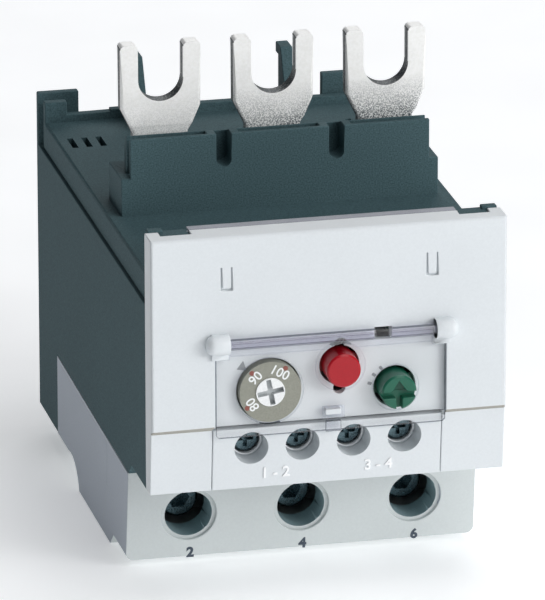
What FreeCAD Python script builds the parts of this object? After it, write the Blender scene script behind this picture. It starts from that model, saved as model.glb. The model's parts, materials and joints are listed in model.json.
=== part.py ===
"""Three-pole thermal overload relay that plugs into the load terminals of a contactor.

Drafting axes, in millimetres: x across the poles with 0 on the middle pole, y from the front
cover's face towards the rear, z up from the sole of the lower terminal block. Every piece is
shifted along y when it is written, so that the origin is the middle of the footprint.
"""
import FreeCAD, Part
import math
import os

V = FreeCAD.Vector

# ---- case ---------------------------------------------------------------------------
case_width = 70.0
case_depth = 109.5
case_wall = 2.2
case_split = 61.25        # parting line between base and top housing
case_top = 67.0
tail_height = 5.1         # underside of the rear leg and of the terminal block's tail
chin_height = 23.6        # underside of the front overhang
chin_run = 13.3
rib = 1.6                 # inner walls
seat_gap = 0.1            # between pieces that are fitted together
slide_gap = 0.15          # between pieces that slide on each other
lid_inset = 0.6
lid_skin = 1.8
rear_slot = 2.2           # open groove in front of the rear wall
rear_wall = 1.8
rear_wall_top = 66.5
rear_tab_top = 72.1
rear_tab_width = 8.4
front_tab_top = 71.3
front_tab_width = 4.5
ridge_thickness = 2.0
ridge_top = 68.5
ridge_crown = 0.5
ridge_crown_half = 20.8

# ---- poles --------------------------------------------------------------------------
pole_margin = 2.26          # what the case is wider than three poles
bay_half = 9.0            # half the clear width of one pole's bay

# ---- front cover --------------------------------------------------------------------
plate_thickness = 5.7
plate_face = 3.0
plate_rim = 2.0
plate_top = 75.6
plate_step = 36.8         # height of the step between settings and terminals
plate_setback = 0.8
plate_lean = 1.2
plate_round = 0.8
flange_thickness = 1.8    # top housing's wall behind the plate's upper edge
flange_drop = 0.3
clip_inset = 5.65           # from the case's side to the middle of a clip
clip_half = 2.85
clip_height = 1.6
clip_reach = 2.3
tongue_middle = 20.2
tongue_half = 1.15
tongue_bottom = 64.8
tongue_height = 4.6
tongue_groove = 0.3

# ---- barrier in front of the forks --------------------------------------------------
barrier_front = 41.6
barrier_shoulder = 74.6
barrier_inset = 3.2
barrier_depth = 11.9
crest_height = 7.9
crest_inset = 5.0
crest_depth = 5.6
crest_fall = 1.0
crest_flat = 3.0
notch_width = 3.0
notch_depth = 4.8
notch_rise = 1.1            # from the barrier's shoulder up to the bottom of a notch
slit_front = 1.0
slit_width = 2.5

# ---- vents and hooks ----------------------------------------------------------------
vent_width = 1.2
vent_pitch = 2.9
vent_inset = 9.2
vent_length = 6.2
vent_from_rear = 16.8
hook_pitch = 31.0
hook_shift = -0.75
hook_width = 2.5
hook_top = 80.9
hook_head = 2.25
hook_nose = 2.2
hook_depth = 2.1          # thickness of the shank under the nose's top
hook_slope = 0.5          # how fast the front face comes forward on its way down
hook_setback = 1.3        # from the ridge's rear face to the tip of the nose
hook_fillet = 3.5

# ---- forks --------------------------------------------------------------------------
fork_front = 47.5
fork_thickness = 3.2
fork_half = 8.0
fork_slot_half = 4.5
fork_neck_drop = 0.8        # from the barrier's crest down to where the stem starts to widen
fork_flare = 5.2            # height over which the stem widens
fork_web = 1.3              # from the shoulders up to the bottom of the slot
fork_slot_depth = 11.6
fork_stem_half = 5.5
fork_foot_top = 58.2
fork_round = 0.9
fork_bend = 3.6
fork_pad_rise = 1.5         # from the neck up to the raised contact pad on the front face
fork_pad_height = 0.1

# ---- lower terminal block -----------------------------------------------------------
block_front = 22.4
block_lean = 2.4
block_rear = 90.8
block_top = 20.9
block_rise = 0.8          # the top face climbs this much towards the rear
block_wall = 2.0
shroud_sole = 1.75
sole_step = 37.8
sole_slope = 2.0
entry_end = 69.8
tail_curve = 10.2
seam_top = 42.0
seam_knee = 42.5
seam_knee_height = 11.2
seam_heel = 46.1
seam_heel_height = 3.2
seam_foot = 45.3
load_bore_radius = 4.75
load_bore_height = 10.75
load_ring_radius = 5.5
load_ring_depth = 0.7
collar_half = 6.4
collar_length = 8.0

# ---- load terminals -----------------------------------------------------------------
cage_front = 48.2
cage_depth = 19.9
cage_wall = 2.4
cage_half = 8.7
cage_height = 12.0
busbar_thickness = 3.0
busbar_half = 6.3
busbar_drop = 1.2           # how far the busbar reaches below the clamp
pressure_thickness = 2.0
load_screw_radius = 3.95
load_screw_length = 17.0
load_socket = 4.0
thread_gap = 0.08

# ---- heaters and bimetals -----------------------------------------------------------
strip_thickness = 1.2
strip_front = 76.0
strip_width = 12.0
strip_top = 51.5
heater_offset = 4.1
heater_thickness = 1.0
heater_front = 75.0
heater_width = 14.0
heater_runs = 6
heater_ribbon = 2.6
conductor_rear = 89.5

# ---- trip slides and trip lever -----------------------------------------------------
trip_travel = 2.5
bar_front = 71.0
bar_thickness = 1.6
bar_height = 3.0
overload_bar_bottom = 44.0
bar_overhang = 3.42
bar_end_gap = 2.9
finger_thickness = 1.6
finger_length = 5.0
finger_clearance = 0.15
link_thickness = 1.5
link_half = 1.5
link_pin_radius = 0.7
lever_offset = 5.72         # from the right pole to the trip lever's pin
lever_y = 47.0
lever_bottom = 43.6
lever_height = 6.4
lever_boss_radius = 2.7
lever_arm = 1.8
lever_pin_radius = 1.2
pin_boss_radius = 2.4
comp_strip_thickness = 0.8
comp_strip_height = 4.0
comp_strip_front = 22.8

# ---- mechanism frame and contacts ---------------------------------------------------
cross_wall_front = 42.0
frame_thickness = 2.0
frame_inset = 4.0
frame_bottom = 37.0
frame_top = 59.5
opening_half = 24.0
opening_top = 58.0
carrier_front = 18.5
carrier_depth = 2.5
carrier_bottom = 45.5
carrier_height = 3.0
carrier_start = 1.0         # from the nc strip to the carrier's left end
carrier_end_gap = 4.7
finger_width = 1.2
finger_gap = 1.7
contact_front = 23.0
contact_width = 4.0
contact_height = 51.0
contact_tail = 2.0          # strip above the rivet
contact_spring = 0.5
contact_gap = 1.4
contact_touch = 0.05
rivet_radius = 1.4
rivet_head = 0.9
post_thickness = 1.0
nc_strip_x = -9.0
no_strip_x = 10.15
nc_post_x = -4.1
no_post_x = 5.1
flag_gap = 0.4
flag_width = 4.0
flag_height = 3.6
flag_thickness = 1.0

# ---- auxiliary terminals ------------------------------------------------------------
aux_pitch = 10.1
aux_screw_height = 32.0
aux_well_radius = 3.35
aux_ledge_radius = 3.05
aux_ledge = 6.5
aux_left = -22.9
aux_right = 22.5
aux_top = 36.3
aux_rear = 20.0
aux_bay_half = 4.2
aux_bay_front = 9.3
aux_bay_rear = 18.8
aux_bay_top = 35.25
aux_plate_front = 14.5
aux_plate_thickness = 1.2
aux_clamp_half = 3.6
aux_clamp_thickness = 0.8
aux_head_radius = 2.75
aux_head = 2.35
aux_shank_radius = 1.45
aux_shank_end = 16.0
aux_foot_half = 2.0
aux_foot_top = 34.4

# ---- controls on the front cover ----------------------------------------------------
dial_x = -11.74
dial_z = 43.7
dial_radius = 6.1
dial_proud = 0.3
dial_hub_radius = 2.84
dial_hub_proud = 0.25
dial_slot_width = 0.95
dial_slot_depth = 1.2
dial_slot_turn = -10.0
dial_hole_gap = 0.2
dial_shaft_radius = 2.0
dial_shaft_end = 15.0
flange_grip = 0.3         # how far a retaining flange reaches past its hole
flange_height = 0.8
cam_radius = 4.0
cam_lift = 1.0            # change of radius for a quarter turn
cam_front = 12.0
cam_thickness = 2.5
cam_gap = 0.1
nose_radius = 0.8
setting_pivot_z = 55.0
setting_lever_front = 15.0
setting_lever_thickness = 1.5
stud_radius = 1.2
test_x = 2.2
test_z = 47.6
test_radius = 3.35
test_proud = 2.75
test_hole_radius = 3.96
test_stem_radius = 1.8
test_stem_end = 14.2
keyhole_radius = 1.23
keyhole_offset = 4.7
reset_x = 13.1
reset_z = 42.4
reset_radius = 3.45
reset_proud = 2.9
reset_hole_radius = 4.1
reset_stem_radius = 1.9
reset_stem_flat = 1.4
reset_stem_end = 16.0
reset_slot_width = 1.1
reset_slot_depth = 1.6
sleeve_radius = 3.0
sleeve_head_radius = 3.8
sleeve_head = 0.7
sleeve_end = 14.0
running_gap = 0.06
spring_wire = 0.15        # radius of the wire
spring_turns = 3
spring_steps = 8          # facets of the wire's path in each turn
carrier_spring_turns = 7
carrier_spring_radius = 1.0
trip_window_x = 8.8
trip_window_z = 52.1
trip_window_width = 3.5
trip_window_height = 3.0

# ---- clear window cover -------------------------------------------------------------
window_middle = 0.3
window_half = 22.6
window_recess = 1.3
window_sheet = 1.05
window_proud = 0.05
window_top = 52.6
window_shoulder_drop = 1.9
window_shoulder_half = 20.0
window_bottom = 34.8
window_gap = 0.15
hinge_rise = 1.6
hinge_y = -1.0
hinge_bar_radius = 0.95
hinge_pin_radius = 0.9
hinge_pin_length = 1.4
boss_radius = 1.9
boss_length = 4.3
dial_ring_radius = 6.65
test_ring_radius = 4.9
reset_ring_radius = 4.6
latch_x = 0.65
latch_z = 38.6
latch_half = 1.55
latch_half_height = 0.6
latch_gap = 0.3
latch_frame = 0.35
tab_half = 1.5
tab_proud = 0.7

# ---- places that follow from the sizes ----------------------------------------------
half_width = case_width / 2
pole_pitch = (case_width - pole_margin) / 3
clip_middle = half_width - clip_inset
barrier_half = half_width - barrier_inset
crest_half = half_width - crest_inset
vent_inner = half_width - vent_inset
frame_half = half_width - frame_inset
cage_bottom = load_bore_height - cage_height / 2
busbar_bottom = cage_bottom - busbar_drop
lever_x = pole_pitch + lever_offset
bar_left = pole_pitch + bar_overhang
bar_right = lever_x - bar_end_gap
carrier_right = lever_x - carrier_end_gap
carrier_left = nc_strip_x + carrier_start
contact_top = contact_height + contact_tail
window_shoulder = window_top - window_shoulder_drop
hinge_z = window_top + hinge_rise
reach_front = max(test_proud, reset_proud, boss_radius - hinge_y)
mid_depth = (case_depth - reach_front) / 2
pole_places = [-pole_pitch, 0.0, pole_pitch]
aux_places = [-1.5 * aux_pitch, -0.5 * aux_pitch, 0.5 * aux_pitch, 1.5 * aux_pitch]
wall_back = plate_thickness + case_wall
floor_top = block_top + block_rise + seat_gap + case_wall
leg_front = block_rear + seat_gap
lid_half = half_width - lid_inset
lid_rear = case_depth - rear_wall - rear_slot
ceiling = case_top - lid_skin
barrier_crest = barrier_shoulder + crest_height
notch_bottom = barrier_shoulder + notch_rise
fork_foot_bottom = fork_foot_top - fork_thickness
fork_neck = barrier_crest - fork_neck_drop
fork_shoulder = fork_neck + fork_flare
fork_slot_bottom = fork_shoulder + fork_web
fork_top = fork_slot_bottom + fork_slot_depth
fork_pad = fork_neck + fork_pad_rise
pressure_front = cage_front + cage_wall + 2 * seat_gap
busbar_front = cage_front + cage_depth - cage_wall - seat_gap - busbar_thickness
busbar_foot_top = floor_top + busbar_thickness
strip_pivot = busbar_foot_top + strip_thickness / 2 + contact_touch
phase_bar_bottom = overload_bar_bottom + bar_height + 2 * slide_gap
frame_back = wall_back + frame_thickness
flange_front = plate_face + seat_gap
flange_back = flange_front + flange_height
contact_root = aux_foot_top + contact_spring / 2 + contact_touch
nose_x = dial_x + cam_radius + nose_radius + cam_gap
cam_slope = cam_lift / (math.pi / 2)


# ---- helpers ------------------------------------------------------------------------
def block(x0, x1, y0, y1, z0, z1):
    """Box between two corners."""
    return Part.makeBox(x1 - x0, y1 - y0, z1 - z0, V(x0, y0, z0))


def rod(axis, radius, low, high, at):
    """Cylinder along an axis; at gives the two other coordinates in x, y, z order."""
    base = {"x": V(low, *at), "y": V(at[0], low, at[1]), "z": V(at[0], at[1], low)}[axis]
    direction = {"x": V(1, 0, 0), "y": V(0, 1, 0), "z": V(0, 0, 1)}[axis]
    return Part.makeCylinder(radius, high - low, base, direction)


def prism(points, axis, low, high):
    """Extrusion of a closed outline. A (middle, end) pair of points is an arc."""
    place = {
        "x": lambda p: V(low, p[0], p[1]),
        "y": lambda p: V(p[0], low, p[1]),
        "z": lambda p: V(p[0], p[1], low),
    }[axis]
    run = {"x": V(high - low, 0, 0), "y": V(0, high - low, 0), "z": V(0, 0, high - low)}[axis]
    edges = []
    here = points[0]
    for step in points[1:] + points[:1]:
        if isinstance(step[0], tuple):
            middle, end = step
            edges.append(Part.Arc(place(here), place(middle), place(end)).toShape())
            here = end
        else:
            edges.append(Part.LineSegment(place(here), place(step)).toShape())
            here = step
    return Part.Face(Part.Wire(edges)).extrude(run)


def joined(shapes):
    """One solid from shapes that touch or overlap."""
    whole = shapes[0].fuse(shapes[1:]) if len(shapes) > 1 else shapes[0]
    return whole.removeSplitter()


def rounded(shape, radius, test):
    """Fillet on the edges that pass the test."""
    return shape.makeFillet(radius, [edge for edge in shape.Edges if test(edge)])


def chamfered(shape, width, test):
    """Chamfer on the edges that pass the test."""
    return shape.makeChamfer(width, [edge for edge in shape.Edges if test(edge)])


def runs_along(edge, axis):
    """True for a straight edge parallel to an axis."""
    if len(edge.Vertexes) != 2:
        return False
    span = edge.Vertexes[1].Point - edge.Vertexes[0].Point
    parts = {"x": abs(span.x), "y": abs(span.y), "z": abs(span.z)}
    return span.Length > 0 and parts[axis] > 0.999 * span.Length


def middle_of(edge):
    return edge.BoundBox.Center


def coil(radius, wire, length, turns, start, direction):
    """Helical compression spring between two faces, as a faceted tube along its helix."""
    sides = 4
    stations = turns * spring_steps
    turn = FreeCAD.Rotation(V(0, 0, 1), direction)
    rings = []
    for k in range(stations + 1):
        angle = 2 * math.pi * k / spring_steps
        rise = wire + (length - 2 * wire) * k / stations
        ring = []
        for j in range(sides):
            lean = 2 * math.pi * j / sides
            out = radius + wire * math.cos(lean)
            point = V(out * math.cos(angle), out * math.sin(angle), rise + wire * math.sin(lean))
            ring.append(start + turn.multVec(point))
        rings.append(ring)
    faces = [Part.Face(Part.makePolygon(ring + ring[:1])) for ring in (rings[0], rings[-1])]
    for near, far in zip(rings, rings[1:]):
        for j in range(sides):
            i = (j + 1) % sides
            faces.append(Part.Face(Part.makePolygon([near[j], near[i], far[i], near[j]])))
            faces.append(Part.Face(Part.makePolygon([near[j], far[i], far[j], near[j]])))
    return Part.makeSolid(Part.makeShell(faces))


def write(node, shapes):
    """Write a node's solids, moved so that the origin is the middle of the footprint."""
    whole = shapes[0].copy() if len(shapes) == 1 else Part.makeCompound(shapes)
    whole.translate(V(0, -mid_depth, 0))
    whole.exportStep("parts/" + node + ".step")


# ---- lower terminal block -----------------------------------------------------------
def block_top_at(y):
    """Height of the lower block's sloping top face."""
    return block_top + block_rise * (y - block_front) / (block_rear - block_front)


def block_body():
    """Whole lower block before it is divided into shroud and housing."""
    outline = [
        (block_front, block_top),
        (block_front + block_lean, shroud_sole),
        (sole_step, shroud_sole),
        (sole_step + sole_slope, 0.0),
        (entry_end, 0.0),
        ((entry_end + 0.32 * tail_curve, 0.78 * tail_height), (entry_end + tail_curve, tail_height)),
        (block_rear, tail_height),
        (block_rear, block_top_at(block_rear)),
    ]
    body = prism(outline, "x", -half_width, half_width)
    corner = block_wall * 0.75

    def lower_side_edge(edge):
        low = middle_of(edge).z < shroud_sole + corner and middle_of(edge).y < sole_step
        return runs_along(edge, "y") and low and abs(middle_of(edge).x) > half_width - corner

    return rounded(body, corner, lower_side_edge)


def behind_seam(gap):
    """Everything behind the seam between shroud and housing."""
    far = case_depth
    outline = [
        (seam_top + gap, case_top),
        (seam_top + gap, block_top),
        (seam_knee + gap, seam_knee_height),
        ((0.55 * seam_knee + 0.45 * seam_heel + gap, 0.5 * (seam_knee_height + seam_heel_height)),
         (seam_heel + gap, seam_heel_height)),
        (seam_foot + gap, -block_wall),
        (far, -block_wall),
        (far, case_top),
    ]
    return prism(outline, "x", -case_width, case_width)


def terminal_shroud():
    """Front piece of the lower block, with a collared bore in front of each load screw."""
    shell = block_body().cut(behind_seam(0.0))
    bay_front = block_front + block_lean + block_wall
    lean = math.atan2(block_lean, block_top - shroud_sole)
    inward = V(0, math.cos(lean), math.sin(lean))
    face_y = block_front + block_lean * (block_top - load_bore_height) / (block_top - shroud_sole)
    cuts = []
    collars = []
    for x in pole_places:
        bay = block(x - bay_half, x + bay_half, bay_front, case_depth,
                    shroud_sole + block_wall, block_top - block_wall)
        collar = block(x - collar_half, x + collar_half, bay_front, face_y + collar_length,
                       load_bore_height - collar_half, load_bore_height + collar_half)
        cuts.append(bay)
        collars.append(collar)
    shell = shell.cut(cuts)
    shell = joined([shell] + collars)
    for x in pole_places:
        mouth = V(x, face_y, load_bore_height) - inward * block_wall
        ring = Part.makeCylinder(load_ring_radius, block_wall + load_ring_depth, mouth, inward)
        bore = rod("y", load_bore_radius, 0, face_y + collar_length + block_wall, (x, load_bore_height))
        shell = shell.cut([ring, bore])
    return shell


def busbar_slot(x):
    """Passage of a busbar through the block's roof and the case floor."""
    return block(x - busbar_half - 2 * seat_gap, x + busbar_half + 2 * seat_gap,
                 busbar_front - 2 * seat_gap, busbar_front + busbar_thickness + 2 * seat_gap,
                 cage_bottom, floor_top + seat_gap)


def load_terminal_housing():
    """Rear piece of the lower block: cable entries from below, cored tail."""
    shell = block_body().common(behind_seam(seat_gap))
    pocket_front = cage_front - 2 * seat_gap
    pocket_rear = cage_front + cage_depth + 2 * seat_gap
    pocket_top = block_top - block_wall - case_wall / 2 + seat_gap
    cuts = []
    for x in pole_places:
        cuts.append(block(x - bay_half, x + bay_half, pocket_front, pocket_rear, -1.0, pocket_top))
        cuts.append(rod("y", load_bore_radius, seam_top - 1.0, pocket_front + 1.0, (x, load_bore_height)))
        cuts.append(block(x - bay_half, x + bay_half, entry_end + 1.0, block_rear - block_wall,
                          tail_height + block_wall + seat_gap, case_top))
        cuts.append(busbar_slot(x))
    return shell.cut(cuts)


def clamp_frame(x):
    """Box clamp that ties the screw to the busbar; open above and below for the conductor."""
    rear = cage_front + cage_depth
    top = cage_bottom + cage_height
    outer = block(x - cage_half, x + cage_half, cage_front, rear, cage_bottom, top)
    outer = chamfered(outer, cage_wall / 3, lambda edge: runs_along(edge, "z"))
    inner = block(x - busbar_half - 2 * seat_gap, x + busbar_half + 2 * seat_gap,
                  cage_front + cage_wall, rear - cage_wall, 0, case_top)
    thread = rod("y", load_screw_radius + thread_gap, 0, cage_front + 2 * cage_wall, (x, load_bore_height))
    return outer.cut([inner, thread])


def pressure_plate(x):
    """Plate that the screw drives against the conductor, with its edges turned forward."""
    half = busbar_half - seat_gap
    bottom = cage_bottom + 2 * seat_gap
    top = cage_bottom + cage_height - 2 * seat_gap
    body = block(x - half, x + half, pressure_front, pressure_front + pressure_thickness, bottom, top)
    groove = rod("z", half * 1.6, 0, case_top, (x, pressure_front + pressure_thickness * 0.7 + half * 1.6))
    return body.cut(groove)


def load_screw(x):
    """Socket set screw of the box clamp."""
    end = pressure_front - contact_touch
    start = end - load_screw_length
    body = rod("y", load_screw_radius, start, end, (x, load_bore_height))
    body = chamfered(body, load_screw_radius * 0.12, lambda e: e.Closed and middle_of(e).y < start + 0.01)
    across = load_socket / math.sqrt(3)
    corners = []
    for k in range(6):
        corners.append((x + across * math.cos(k * math.pi / 3),
                        load_bore_height + across * math.sin(k * math.pi / 3)))
    return body.cut(prism(corners, "y", start - 1.0, start + load_socket))


def load_busbar(x):
    """Busbar from the box clamp up into the case and back under the bimetal."""
    rear = conductor_rear
    upright = block(x - busbar_half, x + busbar_half, busbar_front,
                    busbar_front + busbar_thickness, busbar_bottom, busbar_foot_top)
    foot = block(x - busbar_half, x + busbar_half, busbar_front, rear, floor_top, busbar_foot_top)
    bar = joined([upright, foot])

    def outer_bend(edge):
        at = middle_of(edge)
        return runs_along(edge, "x") and at.y < busbar_front + 0.01 and at.z > busbar_foot_top - 0.01

    return rounded(bar, busbar_thickness * 0.8, outer_bend)


# ---- base housing -------------------------------------------------------------------
def base_shell():
    """Outer tray with the front overhang and the rear leg."""
    notch = plate_thickness + chin_run + case_wall + lid_inset
    outer = prism([
        (plate_thickness, chin_height),
        (plate_thickness + chin_run, chin_height),
        (notch, block_top_at(notch) + seat_gap),
        (leg_front, block_top_at(block_rear) + seat_gap),
        (leg_front, tail_height),
        (case_depth, tail_height),
        (case_depth, case_split),
        (plate_thickness, case_split),
    ], "x", -half_width, half_width)
    inner = prism([
        (wall_back, chin_height + case_wall),
        (notch, chin_height + case_wall),
        (notch + case_wall, floor_top),
        (leg_front + case_wall, floor_top),
        (leg_front + case_wall, tail_height + case_wall),
        (case_depth - case_wall, tail_height + case_wall),
        (case_depth - case_wall, case_split + 1.0),
        (wall_back, case_split + 1.0),
    ], "x", -half_width + case_wall, half_width - case_wall)
    return outer.cut(inner)


def rear_edge():
    """Rear wall above the parting line, its two tabs, and the shelf that ends the groove."""
    front = case_depth - rear_wall
    tab = rear_tab_width
    wall = block(-half_width, half_width, front, case_depth, case_split, rear_wall_top)
    left = block(-half_width, -half_width + tab, front, case_depth, case_split, rear_tab_top)
    inset = tab * 0.31
    right = block(half_width - inset - tab, half_width - inset, front, case_depth, case_split, rear_tab_top)
    shelf = block(-half_width + case_wall, half_width - case_wall, lid_rear - case_wall,
                  case_depth - rear_wall, case_split - case_wall - lid_inset, case_split - lid_inset)
    return [wall, left, right, shelf]


def inner_walls():
    """Cross wall behind the mechanism and the barriers between the poles."""
    top = case_split - case_wall - 3 * lid_inset
    inside = half_width - case_wall
    walls = [block(-inside, inside, cross_wall_front, cross_wall_front + rib, floor_top, top)]
    for x in (-pole_pitch / 2, pole_pitch / 2):
        walls.append(block(x - rib / 2, x + rib / 2, cross_wall_front, case_depth - case_wall,
                           floor_top, top))
    walls.append(rod("z", pin_boss_radius, floor_top, lever_bottom - slide_gap, (lever_x, lever_y)))
    return walls


def base_housing():
    """Dark lower moulding that carries every other piece."""
    shell = joined([base_shell()] + rear_edge() + inner_walls())
    top = case_split + 1.0
    cuts = [busbar_slot(x) for x in pole_places]
    cuts.append(block(-opening_half, opening_half, 0, wall_back + 1.0, chin_height, opening_top))
    cuts.append(block(aux_left - seat_gap, aux_right + seat_gap, 0, aux_rear + seat_gap,
                      0, aux_top + seat_gap))
    cuts.append(block(-pole_pitch, pole_pitch, bar_front - slide_gap,
                      bar_front + bar_thickness + slide_gap, overload_bar_bottom - slide_gap, top))
    strip_x = carrier_right + slide_gap + seat_gap
    cuts.append(block(strip_x - trip_travel / 2, lever_x + lever_boss_radius,
                      cross_wall_front - 1.0, cross_wall_front + rib + 1.0,
                      lever_bottom - 2 * slide_gap, top))
    cuts.append(rod("z", lever_pin_radius, floor_top + seat_gap, lever_bottom, (lever_x, lever_y)))
    return shell.cut(cuts)


# ---- top housing --------------------------------------------------------------------
def barrier():
    """Insulating wall in front of the forks and the shoulder that they pass through."""
    rear = barrier_front + barrier_depth
    shoulder = block(-barrier_half, barrier_half, barrier_front, rear, ceiling, barrier_shoulder)
    crest_rear = barrier_front + crest_depth
    crest = prism([
        (barrier_front, ceiling),
        (crest_rear, ceiling),
        (crest_rear, barrier_crest - crest_fall),
        (barrier_front + crest_flat, barrier_crest),
        (barrier_front, barrier_crest),
    ], "x", -crest_half, crest_half)
    return [shoulder, crest]


def barrier_cuts():
    """Notches between the poles, slits in front of the forks, passages and cores."""
    cuts = []
    radius = notch_width / 2
    for x in (-pole_pitch / 2, pole_pitch / 2):
        cuts.append(block(x - radius, x + radius, barrier_front - 1.0, barrier_front + notch_depth,
                          notch_bottom + radius, barrier_crest + 1.0))
        cuts.append(rod("y", radius, barrier_front - 1.0, barrier_front + notch_depth,
                        (x, notch_bottom + radius)))
    for x in pole_places:
        left = -half_width if x == pole_places[0] else x - fork_half - seat_gap
        slit = barrier_front + slit_front
        cuts.append(block(left, x + fork_half + seat_gap, slit, slit + slit_width,
                          barrier_shoulder, barrier_crest + 1.0))
        cuts.append(block(x - fork_stem_half - 2 * seat_gap, x + fork_stem_half + 2 * seat_gap,
                          fork_front - 2 * seat_gap, fork_front + fork_thickness + 2 * seat_gap,
                          case_split, barrier_shoulder + 1.0))
        cuts.append(block(x - bay_half, x + bay_half, barrier_front + case_wall,
                          barrier_front + barrier_depth - case_wall, case_split,
                          barrier_shoulder - case_wall))
    return cuts


def vent_slits():
    slits = []
    rear = case_depth - vent_from_rear
    for side in (-1, 1):
        for k in range(3):
            x = side * (vent_inner + k * vent_pitch)
            slits.append(block(x - vent_width / 2, x + vent_width / 2, rear - vent_length, rear,
                               ceiling - 1.0, case_top + 1.0))
    return slits


def mounting_hook(x):
    """Tall hook at the rear ridge, its nose to the rear, that latches under the contactor."""
    half = hook_width / 2
    tip = lid_rear - hook_setback
    back = tip - hook_nose
    front = back - hook_depth
    low = case_top - lid_skin / 2
    foot = front - hook_slope * (hook_top - low)
    return prism([
        (foot, low),
        (lid_rear - ridge_thickness / 2, low),
        (lid_rear - ridge_thickness / 2, ridge_top),
        (back, ridge_top + hook_fillet),
        (back, hook_top - hook_head),
        (tip, hook_top - hook_head),
        (tip, hook_top),
        (front, hook_top),
    ], "x", x - half, x + half)


def rear_ridge():
    front = lid_rear - ridge_thickness
    low = case_top - lid_skin / 2
    return [
        block(-lid_half, lid_half, front, lid_rear, low, ridge_top),
        block(-ridge_crown_half, ridge_crown_half, front, lid_rear, low, ridge_top + ridge_crown),
        block(-lid_half, -lid_half + front_tab_width, front, lid_rear, low, front_tab_top),
    ]


def cover_flange():
    """Wall behind the front plate's upper edge, with the clips that hold the plate."""
    top = plate_top - flange_drop
    rear = plate_thickness + flange_thickness
    bevel = flange_thickness * 0.55
    inner = clip_middle - clip_half
    middle = prism([
        (plate_thickness, ceiling),
        (rear, ceiling),
        (rear, top - bevel),
        (rear - bevel, top),
        (plate_thickness, top),
    ], "x", -inner, inner)
    parts = [middle]
    for side in (-1, 1):
        low, high = sorted((side * inner, side * lid_half))
        parts.append(block(low, high, plate_thickness, rear, ceiling, top))
        low, high = sorted((side * (clip_middle + clip_half * 0.7), side * lid_half))
        parts.append(block(low, high, plate_thickness, rear, ceiling, plate_top + flange_drop))
        low, high = side * clip_middle - clip_half, side * clip_middle + clip_half
        parts.append(prism([
            (plate_thickness - clip_reach, top - clip_height),
            (plate_thickness, top - clip_height),
            (plate_thickness, top),
            (plate_thickness - clip_reach * 0.6, top),
            (plate_thickness - clip_reach, top - clip_height * 0.5),
        ], "x", low, high))
    return parts


def top_housing():
    """Dark lid with the fork barrier, the cover flange, the rear ridge and the hooks."""
    outer = block(-lid_half, lid_half, plate_thickness, lid_rear, case_split, case_top)

    def long_top_edge(edge):
        at = middle_of(edge)
        return runs_along(edge, "y") and at.z > case_top - 0.01

    outer = chamfered(outer, lid_inset * 0.7, long_top_edge)
    hollow = block(-lid_half + case_wall, lid_half - case_wall, plate_thickness + case_wall,
                   lid_rear - case_wall, case_split, ceiling)
    parts = [outer.cut(hollow)] + barrier() + rear_ridge() + cover_flange()
    for side in (-1, 1):
        parts.append(mounting_hook(hook_shift + side * hook_pitch / 2))
    return joined(parts).cut(barrier_cuts() + vent_slits())


# ---- front cover --------------------------------------------------------------------
def keyhole():
    """Round button hole with a notch above and below."""
    deep = plate_thickness + 1.0
    cuts = [rod("y", test_hole_radius, -5.0, deep, (test_x, test_z))]
    for side in (-1, 1):
        cuts.append(rod("y", keyhole_radius, -5.0, deep, (test_x, test_z + side * keyhole_offset)))
    return cuts


def window_outline(grow, bottom):
    """Front view of the window's sheet: a rectangle with stepped upper corners."""
    left = window_middle - window_half - grow
    right = window_middle + window_half + grow
    inner = window_shoulder_half + grow
    return [
        (left, bottom),
        (right, bottom),
        (right, window_shoulder + grow),
        (window_middle + inner, window_shoulder + grow),
        (window_middle + inner, window_top + grow),
        (window_middle - inner, window_top + grow),
        (window_middle - inner, window_shoulder + grow),
        (left, window_shoulder + grow),
    ]


def hinge_boss(side):
    """Boss with a tapered end that holds one end of the window's hinge bar, and its lug."""
    inner = window_middle + side * (window_shoulder_half + 2 * window_gap)
    outer = inner + side * boss_length
    low, high = sorted((inner, outer))
    taper = boss_radius * 0.55
    drum = rod("x", boss_radius, low, high, (hinge_y, hinge_z))
    drum = chamfered(drum, taper, lambda e: e.Closed and abs(middle_of(e).x - outer) < 0.01)
    low, high = sorted((inner, outer - side * taper))
    base = block(low, high, hinge_y, window_recess, hinge_z - boss_radius, hinge_z + boss_radius)
    lug = block(low, high, hinge_y * 0.6, window_recess, window_shoulder + window_gap, hinge_z)
    return [drum, base, lug]


def hinge_bore(side):
    inner = window_middle + side * (window_shoulder_half + 2 * window_gap)
    low, high = sorted((inner - side * 1.0, inner + side * (hinge_pin_length + window_gap)))
    return rod("x", hinge_pin_radius + running_gap, low, high, (hinge_y, hinge_z))


def tongue_grooves(side):
    """U-shaped groove, open at the top, around a small spring tongue."""
    x = side * tongue_middle
    low, high = x - tongue_half, x + tongue_half
    top = tongue_bottom + tongue_height
    deep = tongue_groove * 2
    return [
        block(low, low + tongue_groove, -1.0, deep, tongue_bottom, top),
        block(high - tongue_groove, high, -1.0, deep, tongue_bottom, top),
        block(low, high, -1.0, deep, tongue_bottom, tongue_bottom + tongue_groove),
    ]


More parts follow.
